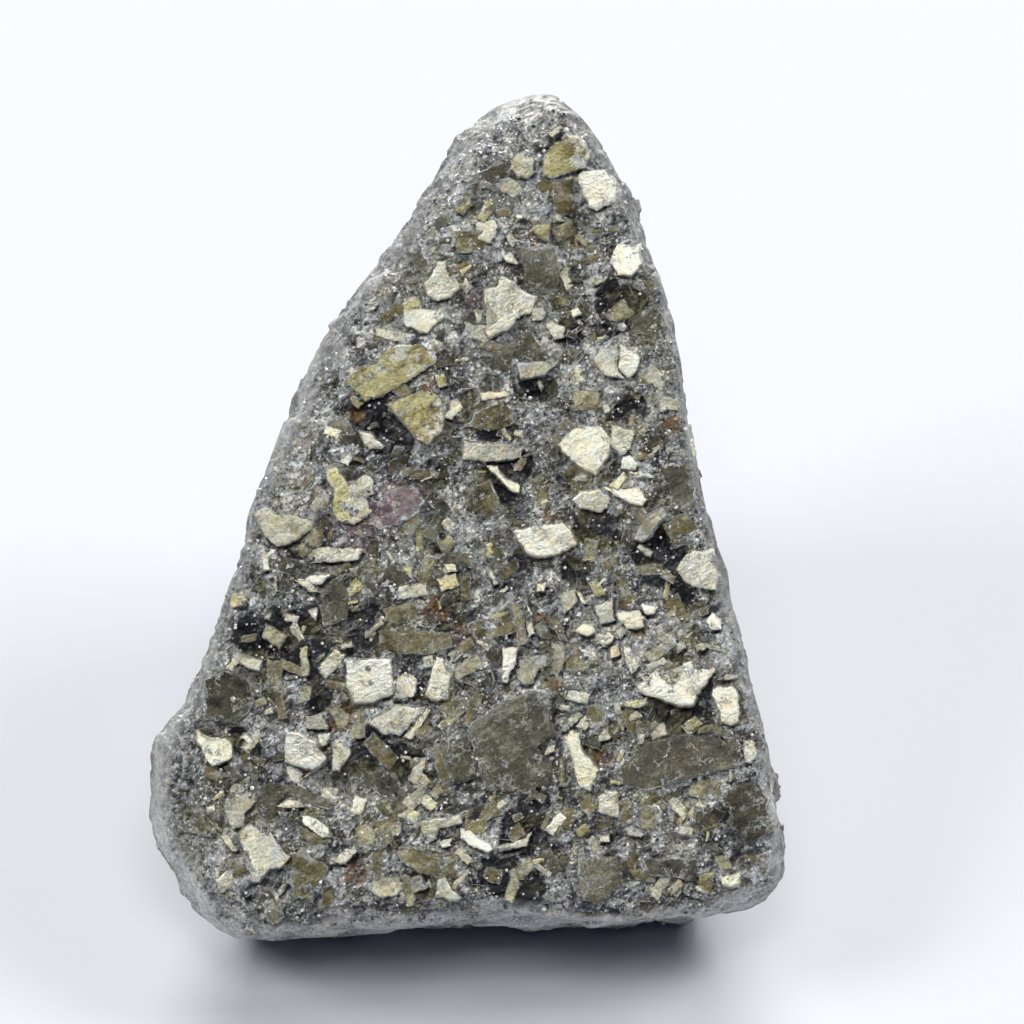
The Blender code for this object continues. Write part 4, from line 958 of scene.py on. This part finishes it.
def mass_material():
    material, shade, shader = new_material("pyrite_mass")
    front = shade.attribute("front")
    glassy = shade.noise(0.22, 5.0, 0.6)
    beads = shade.noise(0.45, 3.0, 0.5)
    ground, crumbs = ground_paint(shade, glassy)
    shade.plug(shader.inputs["Base Color"], front.mix(skin_paint(shade, beads), ground))
    shade.plug(shader.inputs["Metallic"], 0.10 + 0.20 * front)
    shade.plug(shader.inputs["Roughness"], 0.58 - 0.20 * front)
    relief = front * crumbs * 1.2 + glassy * 0.5 + beads * 0.6
    shade.plug(shader.inputs["Normal"], shade.bump(relief, 0.07))
    return material


mass_mesh = granular_mass()
mass_middles = read_places(mass_mesh, "polygons", "center")
mass_normals = read_places(mass_mesh, "polygons", "normal")
mass_areas = np.empty(len(mass_mesh.polygons))
mass_mesh.polygons.foreach_get("area", mass_areas)
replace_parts(place_piece("pyrite_mass", mass_mesh, mass_material()), "pyrite_chunk")


# ---------------------------------------------------------------------------
# The face crystals themselves. Each is a block with a flat top, ragged edges and steep broken
# sides, and its foot is buried in the mass. Seeded laths and blocks lie between the large ones.

# For each tone: how far a crystal's top stands out, the most that it leans with the surface, and how
# far it tips up towards the light
CRYSTAL_STANCE = {
    "white": (0.09, 0.10, 0.10), "bright": (0.09, 0.10, 0.08), "pale": (0.075, 0.14, 0.07),
    "gold": (0.07, 0.12, 0.05), "olive": (0.055, 0.12, 0.0), "dull": (0.045, 0.12, -0.04),
    "purple": (0.05, 0.10, 0.0),
}
SIDE_TIP = 0.08
EDGE_STEP = 0.16  # millimetres between the chips along a crystal's edge
EDGE_CHIP = 0.04
EDGE_WANDER = 0.06  # how far a long edge wanders off its straight line
WANDER_SIZE = 0.55
CRYSTAL_ROOT = 0.8
RIM_INSET = 0.12  # the worn band round a crystal's top
SIDE_INSET, SIDE_DROP = 0.02, 0.02
ROOT_SPREAD = 0.10
CRYSTAL_CLEAR = 0.25  # millimetres from the large crystals to the middle of a small one
ABOVE_FACE = 12.0
BELOW_RIM = -1.5
RIM_LEVEL = -0.9  # w of the rim of the broad face
SMALL_CRYSTALS = {"bright": 16, "pale": 75, "gold": 50, "olive": 170, "dull": 130}
SMALL_LENGTHS = (0.40, 1.8)
SMALL_WIDTHS = (0.20, 0.75)  # over the length
SMALL_TURN = (0.5, 0.9)  # radians: most lie rising a little to the right

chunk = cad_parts["pyrite_chunk"].data
chunk_tree = BVHTree.FromPolygons(
    [world_to_face @ vertex.co for vertex in chunk.vertices], [face.vertices for face in chunk.polygons]
)
on_front = (mass_normals[:, 2] > 0.3) & (mass_middles[:, 2] > -1.6)
clear = crystal_distance(mass_middles[:, :2]) > CRYSTAL_CLEAR
open_places = mass_middles[on_front & clear][:, :2]


def face_height(x, t):
    """The w of the chunk's surface at one place of the broad face."""
    hit = chunk_tree.ray_cast(Vector((x, t, ABOVE_FACE)), Vector((0.0, 0.0, -1.0)))[0]
    return hit.z if hit is not None else BELOW_RIM


def well_inside(x, t, margin=0.9):
    """Whether a place is on the broad face and at least this far from its edge."""
    turns = [step * math.pi / 4.0 for step in range(8)]
    return all(
        face_height(x + margin * math.cos(turn), t + margin * math.sin(turn)) > RIM_LEVEL
        for turn in turns
    )


def ragged(outline, rng):
    """The outline, anticlockwise, with small chips along its edges, and its mean width."""
    corners = np.array(outline)
    following = np.roll(corners, -1, axis=0)
    area = (corners[:, 0] * following[:, 1] - following[:, 0] * corners[:, 1]).sum() / 2.0
    if area < 0.0:
        corners = corners[::-1]
        following = np.roll(corners, -1, axis=0)
    points = []
    for start, end in zip(corners, following):
        side = end - start
        length = max(float(np.hypot(*side)), 1e-6)
        steps = max(1, round(length / EDGE_STEP))
        across = np.array((-side[1], side[0])) / length
        for step in range(steps):
            points.append(start + side * (step / steps) + across * rng.uniform(-EDGE_CHIP, EDGE_CHIP))
    perimeter = np.hypot(*(following - corners).T).sum()
    width = 2.0 * abs(area) / perimeter
    points = np.array(points)
    spots = np.column_stack([points, np.zeros(len(points))]) / WANDER_SIZE
    wander = np.column_stack([grid_noise(spots, 81), grid_noise(spots, 82)]) - 0.5
    return points + 2.0 * EDGE_WANDER * min(1.0, width / 0.5) * wander, width


def crystal_top(outline, lean):
    """The plane of a crystal's top: its middle, its height there and its two slopes."""
    corners = np.array(outline)
    middle = corners.mean(axis=0)
    spots = np.vstack([middle + (corners - middle) * share for share in (0.75, 0.4)] + [middle[None]])
    heights = np.array([face_height(*spot) for spot in spots])
    system = np.column_stack([np.ones(len(spots)), spots - middle])
    level, slope_x, slope_t = np.linalg.lstsq(system, heights, rcond=None)[0]
    return middle, level, np.clip(slope_x, -lean, lean), np.clip(slope_t, -lean, lean)


def add_crystal(shape, outline, tone, rng):
    """Adds one crystal to a mesh in the face frame: a top, a worn rim and a buried foot."""
    stands_out, lean, tip = CRYSTAL_STANCE[tone]
    middle, level, slope_x, slope_t = crystal_top(outline, lean)
    slope_t -= tip * rng.uniform(0.6, 1.4)
    slope_x += rng.uniform(-SIDE_TIP, SIDE_TIP)
    level += stands_out
    points, width = ragged(outline, rng)
    along = np.roll(points, -1, axis=0) - np.roll(points, 1, axis=0)
    lengths = np.maximum(np.hypot(*along.T), 1e-6)
    inward = np.column_stack([-along[:, 1], along[:, 0]]) / lengths[:, None]
    rim, tint, fade = (shape.verts.layers.float[name] for name in ("rim", "tint", "fade"))
    own_tint = rng.random()
    turn = rng.uniform(0.0, 2.0 * math.pi)
    fade_way = np.array((math.cos(turn), math.sin(turn))) / (2.0 * np.abs(points - middle).max())
    rings = []
    for inset, drop, worn in (
        (min(RIM_INSET, 0.5 * width), 0.0, 0.0),
        (SIDE_INSET, SIDE_DROP, 1.0),
        (-ROOT_SPREAD, CRYSTAL_ROOT, 1.0),
    ):
        ring = []
        for spot in points + inward * inset:
            w = level + slope_x * (spot[0] - middle[0]) + slope_t * (spot[1] - middle[1]) - drop
            corner = shape.verts.new((spot[0], spot[1], w))
            corner[rim] = worn
            corner[tint] = own_tint
            corner[fade] = 0.5 + float((spot - middle) @ fade_way)
            ring.append(corner)
        rings.append(ring)
    shape.faces.new(rings[0])
    shape.faces.new(reversed(rings[-1]))
    for upper, lower in zip(rings, rings[1:]):
        for index in range(len(points)):
            following = (index + 1) % len(points)
            shape.faces.new((upper[index], lower[index], lower[following], upper[following]))


def small_outlines(count, rng):
    """Seeded outlines of small laths and blocks on the open parts of the face."""
    outlines = []
    while len(outlines) < count:
        place = open_places[rng.randrange(len(open_places))]
        if not well_inside(*place):
            continue
        length = SMALL_LENGTHS[0] * (SMALL_LENGTHS[1] / SMALL_LENGTHS[0]) ** rng.random()
        width = length * rng.uniform(*SMALL_WIDTHS)
        turn = rng.gauss(*SMALL_TURN)
        along = np.array((math.cos(turn), math.sin(turn))) * length / 2.0
        across = np.array((-math.sin(turn), math.cos(turn))) * width / 2.0
        corners = [
            place + along * sign_a * rng.uniform(0.75, 1.15) + across * sign_b * rng.uniform(0.7, 1.15)
            for sign_a, sign_b in ((-1, -1), (1, -1), (1, 1), (-1, 1))
        ]
        outlines.append(tuple(tuple(corner) for corner in corners))
    return tuple(outlines)


def crystal_mesh(tone, rng):
    shape = bmesh.new()
    for name in ("rim", "tint", "fade"):
        shape.verts.layers.float.new(name)
    for outline in FACE_CRYSTALS[tone] + small_outlines(SMALL_CRYSTALS.get(tone, 0), rng):
        add_crystal(shape, outline, tone, rng)
    bmesh.ops.triangulate(shape, faces=[face for face in shape.faces if len(face.verts) > 4])
    bmesh.ops.recalc_face_normals(shape, faces=shape.faces)
    mesh = bpy.data.meshes.new(tone + "_crystals")
    shape.to_mesh(mesh)
    shape.free()
    return mesh


def crystal_material(name, look):
    """A crystal tone that drifts between three colours under fine grit, cracks and silver crumbs."""
    material, shade, shader = new_material(name)
    drift = shade.noise(1.0, 4.0, 0.65)
    streak = shade.noise(0.40, 4.0, 0.65, shade.places(-30.0, (2.4, 0.8, 1.0)))
    grit = shade.noise(0.14, 3.0, 0.65)
    tint = shade.attribute("tint")
    fade = shade.attribute("fade")
    blend = drift * 0.9 + streak * 0.8 + tint * 0.35 + fade * 0.35
    paint = blend.between(0.88, 1.18).mix(look["dark"], look["middle"])
    paint = blend.between(1.18, 1.48).mix(paint, look["light"])
    frost = (shade.noise(0.65, 5.0, 0.7) + (0.5 - fade) * 0.35 + look["frost"]).between(0.50, 0.66)
    paint = frost.mix(paint, look["frosted"])
    paint = paint.times((1.0 - look["grit"]) + 2.0 * look["grit"] * grit.between(0.28, 0.72))
    cracks = shade.wisps(1.3, 0.955, 0.99) * shade.noise(0.8, 2.0).between(0.46, 0.60)
    paint = (cracks * look["cracks"]).mix(paint, look["crack"])
    matrix, crumbs = matrix_paint(shade, crust_density(shade).between(-0.1, 1.1))
    buried = shade.attribute("rim") * 0.26 + (fade - 0.5) * look["buried"]
    cover = (buried + shade.noise(0.45, 5.0, 0.7) + look["dust"]).between(0.64, 0.78)
    patches = shade.noise(0.8, 4.0, 0.65).between(0.48, 0.66)
    dust = crumbs_of(shade, patches * 1.3 - 0.55 + look["dust"], 0.12) * 0.75
    dusting = cover.maths("MAXIMUM", cover, dust)
    paint = dusting.mix(paint.dyed(dyes(shade)), matrix)
    shade.plug(shader.inputs["Base Color"], paint)
    shade.plug(shader.inputs["Metallic"], look["metallic"] * (1.0 - 0.6 * dusting))
    shade.plug(shader.inputs["Roughness"], look["rough"] + 0.1 * dusting)
    shade.plug(shader.inputs["Specular IOR Level"], look["gloss"])
    relief = grit * 0.5 + drift * 1.5 + streak * 0.7 + crumbs * dusting
    shade.plug(shader.inputs["Normal"], shade.bump(relief, 0.07))
    return material


# Tones of each kind of crystal; frost, grit, cracks, dust and buried say how much of each lies on it
CRYSTAL_LOOKS = {
    "white": {
        "dark": colour(0.68, 0.66, 0.5), "middle": colour(0.89, 0.88, 0.76),
        "light": colour(0.98, 0.98, 0.91), "frosted": colour(0.84, 0.84, 0.8), "frost": -0.07,
        "crack": colour(0.38, 0.37, 0.3), "grit": 0.12, "cracks": 0.5, "dust": -0.09, "buried": 0.12,
        "rough": 0.34, "metallic": 0.5, "gloss": 0.5,
    },
    "bright": {
        "dark": colour(0.56, 0.53, 0.37), "middle": colour(0.82, 0.81, 0.66),
        "light": colour(0.95, 0.95, 0.86), "frosted": colour(0.72, 0.73, 0.69), "frost": -0.05,
        "crack": colour(0.34, 0.33, 0.27), "grit": 0.14, "cracks": 0.5, "dust": -0.09, "buried": 0.14,
        "rough": 0.34, "metallic": 0.5, "gloss": 0.5,
    },
    "pale": {
        "dark": colour(0.34, 0.32, 0.23), "middle": colour(0.64, 0.62, 0.48),
        "light": colour(0.92, 0.91, 0.79), "frosted": colour(0.66, 0.67, 0.65), "frost": -0.02,
        "crack": colour(0.16, 0.15, 0.12), "grit": 0.28, "cracks": 0.6, "dust": -0.03, "buried": 0.18,
        "rough": 0.42, "metallic": 0.35, "gloss": 0.5,
    },
    "gold": {
        "dark": colour(0.2, 0.16, 0.06), "middle": colour(0.56, 0.52, 0.26),
        "light": colour(0.92, 0.9, 0.6), "frosted": colour(0.74, 0.74, 0.66), "frost": 0.0,
        "crack": colour(0.12, 0.09, 0.04), "grit": 0.26, "cracks": 0.6, "dust": -0.03, "buried": 0.16,
        "rough": 0.38, "metallic": 0.35, "gloss": 0.5,
    },
    "olive": {
        "dark": colour(0.06, 0.046, 0.02), "middle": colour(0.21, 0.185, 0.095),
        "light": colour(0.52, 0.5, 0.34), "frosted": colour(0.4, 0.4, 0.36), "frost": -0.06,
        "crack": colour(0.55, 0.55, 0.48), "grit": 0.36, "cracks": 0.55, "dust": -0.01, "buried": 0.24,
        "rough": 0.4, "metallic": 0.2, "gloss": 0.4,
    },
    "dull": {
        "dark": colour(0.032, 0.029, 0.022), "middle": colour(0.105, 0.098, 0.068),
        "light": colour(0.27, 0.26, 0.2), "frosted": colour(0.22, 0.22, 0.205), "frost": -0.09,
        "crack": colour(0.55, 0.55, 0.5), "grit": 0.42, "cracks": 0.7, "dust": 0.0, "buried": 0.24,
        "rough": 0.4, "metallic": 0.15, "gloss": 0.4,
    },
    "purple": {
        "dark": colour(0.14, 0.08, 0.1), "middle": colour(0.34, 0.24, 0.27),
        "light": colour(0.62, 0.54, 0.55), "frosted": colour(0.58, 0.54, 0.54), "frost": 0.0,
        "crack": colour(0.1, 0.05, 0.06), "grit": 0.42, "cracks": 0.6, "dust": 0.15, "buried": 0.2,
        "rough": 0.45, "metallic": 0.2, "gloss": 0.4,
    },
}
crystal_rng = random.Random(31)
for tone, look in CRYSTAL_LOOKS.items():
    name = tone + "_crystals"
    place_piece(name, crystal_mesh(tone, crystal_rng), crystal_material(name, look))


# ---------------------------------------------------------------------------
# Crumbs and blocks. Broken crumbs of a quarter millimetre crowd parts of the broad face between the
# crystals, and blunt blocks of up to a millimetre cover the back.
BLOCK_CORNERS = np.array(list(itertools.product((-1.0, 1.0), repeat=3)))
BLOCK_SIDES = np.array([
    (0, 1, 3, 2), (4, 6, 7, 5), (0, 4, 5, 1), (2, 3, 7, 6), (0, 2, 6, 4), (1, 5, 7, 3),
])
SQUARE = np.array([(0.0, 0.0), (1.0, 0.0), (1.0, 1.0), (0.0, 1.0)])
CRUMBS = {
    "count": 9000, "sizes": (0.08, 0.24), "tilt": 0.6, "sunk": 0.5, "rough": 0.32, "metallic": 0.4,
}
BLOCKS = {
    "count": 2200, "sizes": (0.30, 1.00), "tilt": 0.35, "sunk": 0.80, "rough": 0.45, "metallic": 0.30,
}
# Each tone is taken by blocks whose own number is up to the share given with it
CRUMB_TONES = (
    (0.50, colour(0.42, 0.43, 0.44)), (0.68, colour(0.74, 0.74, 0.72)),
    (0.84, colour(0.50, 0.47, 0.34)), (1.0, colour(0.10, 0.10, 0.11)),
)
BLOCK_TONES = (
    (0.45, colour(0.27, 0.265, 0.27)), (0.70, colour(0.19, 0.185, 0.175)),
    (0.85, colour(0.17, 0.15, 0.095)), (0.95, colour(0.38, 0.37, 0.32)), (1.0, colour(0.58, 0.56, 0.46)),
)
BEHIND, BEHIND_WANDER = -7.5, 7.0  # w where the blocks of the back begin, and how far that wanders
SPOT_SCATTER = 0.06


def block_map(count):
    """The places of the blocks' sides on the map: each block has its own square."""
    columns = math.ceil(math.sqrt(count))
    cell = np.arange(count)
    side = np.arange(6)
    low_u = (cell[:, None] % columns + 0.06 + 0.31 * (side % 3)) / columns
    low_v = (cell[:, None] // columns + 0.06 + 0.46 * (side // 3)) / columns
    return np.stack([low_u, low_v], axis=2)[:, :, None] + SQUARE * np.array([0.27, 0.40]) / columns


def block_mesh(name, spots, facing, look, rng):
    """Blocks of random size, turn and tilt at the spots, each with its own random numbers."""
    count = look["count"]
    small, large = look["sizes"]
    up = facing + rng.uniform(-look["tilt"], look["tilt"], (count, 3))
    up /= np.linalg.norm(up, axis=1)[:, None]
    along = np.cross(up, rng.normal(size=(count, 3)))
    along /= np.linalg.norm(along, axis=1)[:, None]
    across = np.cross(up, along)
    length = small * (large / small) ** rng.random(count) / 2.0
    width, height = length * rng.uniform(0.3, 0.95, count), length * rng.uniform(0.3, 0.8, count)
    reach = np.column_stack([length, width, height])
    local = BLOCK_CORNERS[None] * reach[:, None] * (1.0 + rng.uniform(-0.28, 0.12, (count, 8, 3)))
    middles = spots + facing * (reach[:, 2] * (1.0 - 2.0 * look["sunk"]))[:, None]
    corners = middles[:, None] + sum(
        local[:, :, axis, None] * way[:, None] for axis, way in enumerate((along, across, up))
    )
    faces = (BLOCK_SIDES[None] + 8 * np.arange(count)[:, None, None]).reshape(-1, 4)
    mesh = bpy.data.meshes.new(name)
    mesh.from_pydata(corners.reshape(-1, 3), [], faces.tolist())
    add_values(mesh, "kind", np.repeat(rng.random(count), 8))
    add_values(mesh, "tint", np.repeat(rng.random(count), 8))
    places = block_map(count).astype(np.float32).ravel()
    mesh.uv_layers.new(name="OFBake").uv.foreach_set("vector", places)
    return mesh


def block_material(name, tones, look):
    """Each block takes one of the tones by its own number, lighter or darker by its tint."""
    material, shade, shader = new_material(name)
    kind = shade.attribute("kind")
    speck = shade.noise(0.18, 4.0, 0.7)
    paint = tones[0][1]
    for (share, _), (_, tone) in zip(tones, tones[1:]):
        paint = kind.maths("GREATER_THAN", kind, share).mix(paint, tone)
    own = 0.55 + 0.75 * shade.attribute("tint")
    paint = paint.times(own * (0.65 + 0.7 * speck.between(0.3, 0.7)))
    shade.plug(shader.inputs["Base Color"], paint)
    shade.plug(shader.inputs["Metallic"], look["metallic"])
    shade.plug(shader.inputs["Roughness"], look["rough"] + 0.1 * shade.attribute("tint"))
    shade.plug(shader.inputs["Normal"], shade.bump(speck, 0.04))
    return material


def add_blocks(name, choices, tones, look, rng):
    """Adds blocks at seeded faces of the mass, in proportion to their area."""
    shares = mass_areas[choices] / mass_areas[choices].sum()
    picked = rng.choice(choices, look["count"], p=shares)
    spots = mass_middles[picked] + rng.uniform(-SPOT_SCATTER, SPOT_SCATTER, (look["count"], 3))
    mesh = block_mesh(name, spots, mass_normals[picked], look, rng)
    place_piece(name, mesh, block_material(name, tones, look))


crowded = grid_noise(mass_middles / 1.1, 71) + 0.5 * grid_noise(mass_middles / 0.45, 72) > 0.78
crowded &= blotches(mass_middles[:, :2], BLACK_SPOTS) < 0.3
depth = mass_middles[:, 2]
behind = depth + BEHIND_WANDER * (grid_noise(mass_middles / 2.2, 73) - 0.5) < BEHIND
behind &= (depth < -4.0) & (height_over_base(mass_middles) > 0.8)
block_rng = np.random.default_rng(57)
add_blocks("face_crumbs", np.flatnonzero(on_front & crowded), CRUMB_TONES, CRUMBS, block_rng)
add_blocks("flank_blocks", np.flatnonzero(behind), BLOCK_TONES, BLOCKS, block_rng)


# ---------------------------------------------------------------------------
# Hairs and beads. Thin curved threads of silvery dust lie over the face, and small bright and dark
# beads sit on it.
HAIRS = 360
HAIR_LENGTHS = (0.35, 1.6)
HAIR_WIDTHS = (0.035, 0.07)
HAIR_STEP = 0.09
HAIR_TURN = (0.5, 1.0)  # radians
HAIR_BEND = 0.13  # radians in each BEND_STEP
BEND_STEP = 0.1
HAIR_FOOT, HAIR_TOP = -0.06, 0.04
SMALL_BEADS = 1300
BEAD_SIZES = (0.035, 0.10)
DUST_METALLIC, DUST_ROUGHNESS = 0.2, 0.35
# Larger beads, and pits drawn as black balls that stand in for their shade: x, t, radius, height over
# the face, and tone from 0 for black to 1 for white
BEADS = (
    (-7.2, -7.8, 0.17, 0.22, 0.25), (-7.05, -8.5, 0.16, 0.18, 0.4), (5.5, 9.25, 0.26, 0.1, 0.55),
    (3.95, -12.05, 0.3, 0.05, 0.0), (4.4, 2.25, 0.22, 0.1, 0.4), (12.5, -18.95, 0.2, 0.0, 0.0),
    (12.9, -19.0, 0.14, 0.0, 1.0), (-6.5, -5.3, 0.13, 0.1, 0.8), (-9.9, -5.15, 0.17, 0.0, 1.0),
    (-7.05, -6.4, 0.1, 0.1, 0.9), (-3.7, -1.9, 0.24, 0.0, 0.0), (-3.5, -1.2, 0.2, 0.0, 0.0),
    (-10.2, -17.0, 0.12, 0.1, 1.0), (2.7, -5.4, 0.12, 0.0, 1.0), (9.2, -1.4, 0.12, 0.1, 0.9),
    (0.9, 5.7, 0.12, 0.1, 0.9), (-7.5, -16.05, 0.1, 0.1, 1.0), (-13.0, -13.8, 0.13, 0.1, 1.0),
    (-13.95, -9.35, 0.16, 0.05, 0.6), (-7.0, -9.95, 0.14, 0.1, 1.0), (-4.0, 5.3, 0.15, 0.12, 0.1),
    (2.7, 19.1, 0.16, 0.1, 0.8), (1.4, 19.8, 0.18, 0.1, 0.7), (1.6, 18.05, 0.1, 0.1, 1.0),
    (1.35, 17.8, 0.12, 0.1, 1.0),
)


def hair_mesh(rng):
    """Thin three-sided threads that bend at a steady rate, laid on the face."""
    corners = []
    faces = []
    tints = []
    places = open_places[blotches(open_places, BLACK_SPOTS) < 0.3]
    for _ in range(HAIRS):
        while not well_inside(*(place := places[rng.randrange(len(places))]), 0.5):
            pass
        length = rng.uniform(*HAIR_LENGTHS)
        steps = max(4, round(length / HAIR_STEP))
        width = rng.uniform(*HAIR_WIDTHS)
        turn = rng.gauss(*HAIR_TURN)
        bend = rng.uniform(-HAIR_BEND, HAIR_BEND)
        spot = np.array(place)
        first = len(corners)
        for step in range(steps):
            turn += bend * HAIR_STEP / BEND_STEP
            along = np.array((math.cos(turn), math.sin(turn)))
            half_width = width * math.sin(math.pi * (step + 0.5) / steps)
            across = np.array((-along[1], along[0])) * half_width / 2.0
            w = face_height(*spot)
            corners += [
                (*(spot - across), w + HAIR_FOOT), (*(spot + across), w + HAIR_FOOT),
                (*spot, w + HAIR_TOP),
            ]
            spot = spot + along * HAIR_STEP
        for step in range(steps - 1):
            low = first + 3 * step
            for one, two in ((0, 1), (1, 2), (2, 0)):
                faces.append((low + one, low + two, low + 3 + two, low + 3 + one))
        faces.append((first, first + 2, first + 1))
        faces.append((low + 3, low + 4, low + 5))
        tints += [rng.random()] * (3 * steps)
    mesh = bpy.data.meshes.new("face_hairs")
    mesh.from_pydata(corners, [], faces)
    add_values(mesh, "tint", np.array(tints))
    return mesh


def bead_mesh(rng):
    """Small balls on the face, half sunk in it."""
    shape = bmesh.new()
    bmesh.ops.create_icosphere(shape, subdivisions=1, radius=1.0)
    ball = bpy.data.meshes.new("ball")
    shape.to_mesh(ball)
    shape.free()
    ball_corners = read_places(ball)
    ball_faces = np.array([tuple(face.vertices) for face in ball.polygons])
    beads = list(BEADS)
    while len(beads) < len(BEADS) + SMALL_BEADS:
        x, t = open_places[rng.randrange(len(open_places))]
        radius = rng.uniform(*BEAD_SIZES)
        beads.append((x, t, radius, 0.5 * radius, rng.random() ** 0.6))
    corners = np.concatenate([
        ball_corners * radius + np.array((x, t, face_height(x, t) + lift))
        for x, t, radius, lift, _ in beads
    ])
    faces = np.concatenate([ball_faces + index * len(ball_corners) for index in range(len(beads))])
    mesh = bpy.data.meshes.new("face_beads")
    mesh.from_pydata(corners, [], faces.tolist())
    add_values(mesh, "tint", np.repeat([bead[4] for bead in beads], len(ball_corners)))
    return mesh


def dust_material(name, dark, light):
    """A tone between dark and light by the tint of each thread or bead."""
    material, shade, shader = new_material(name)
    shade.plug(shader.inputs["Base Color"], shade.attribute("tint").mix(dark, light))
    shade.plug(shader.inputs["Metallic"], DUST_METALLIC)
    shade.plug(shader.inputs["Roughness"], DUST_ROUGHNESS)
    return material


hair_look = dust_material("face_hairs", colour(0.22, 0.23, 0.25), colour(0.78, 0.79, 0.78))
# The black end is partly dark beads and partly painted shade for the pits.
bead_look = dust_material("face_beads", colour(0.02, 0.02, 0.022), colour(0.95, 0.95, 0.90))
dust_rng = random.Random(77)
place_piece("face_hairs", hair_mesh(dust_rng), hair_look)
place_piece("face_beads", bead_mesh(dust_rng), bead_look)
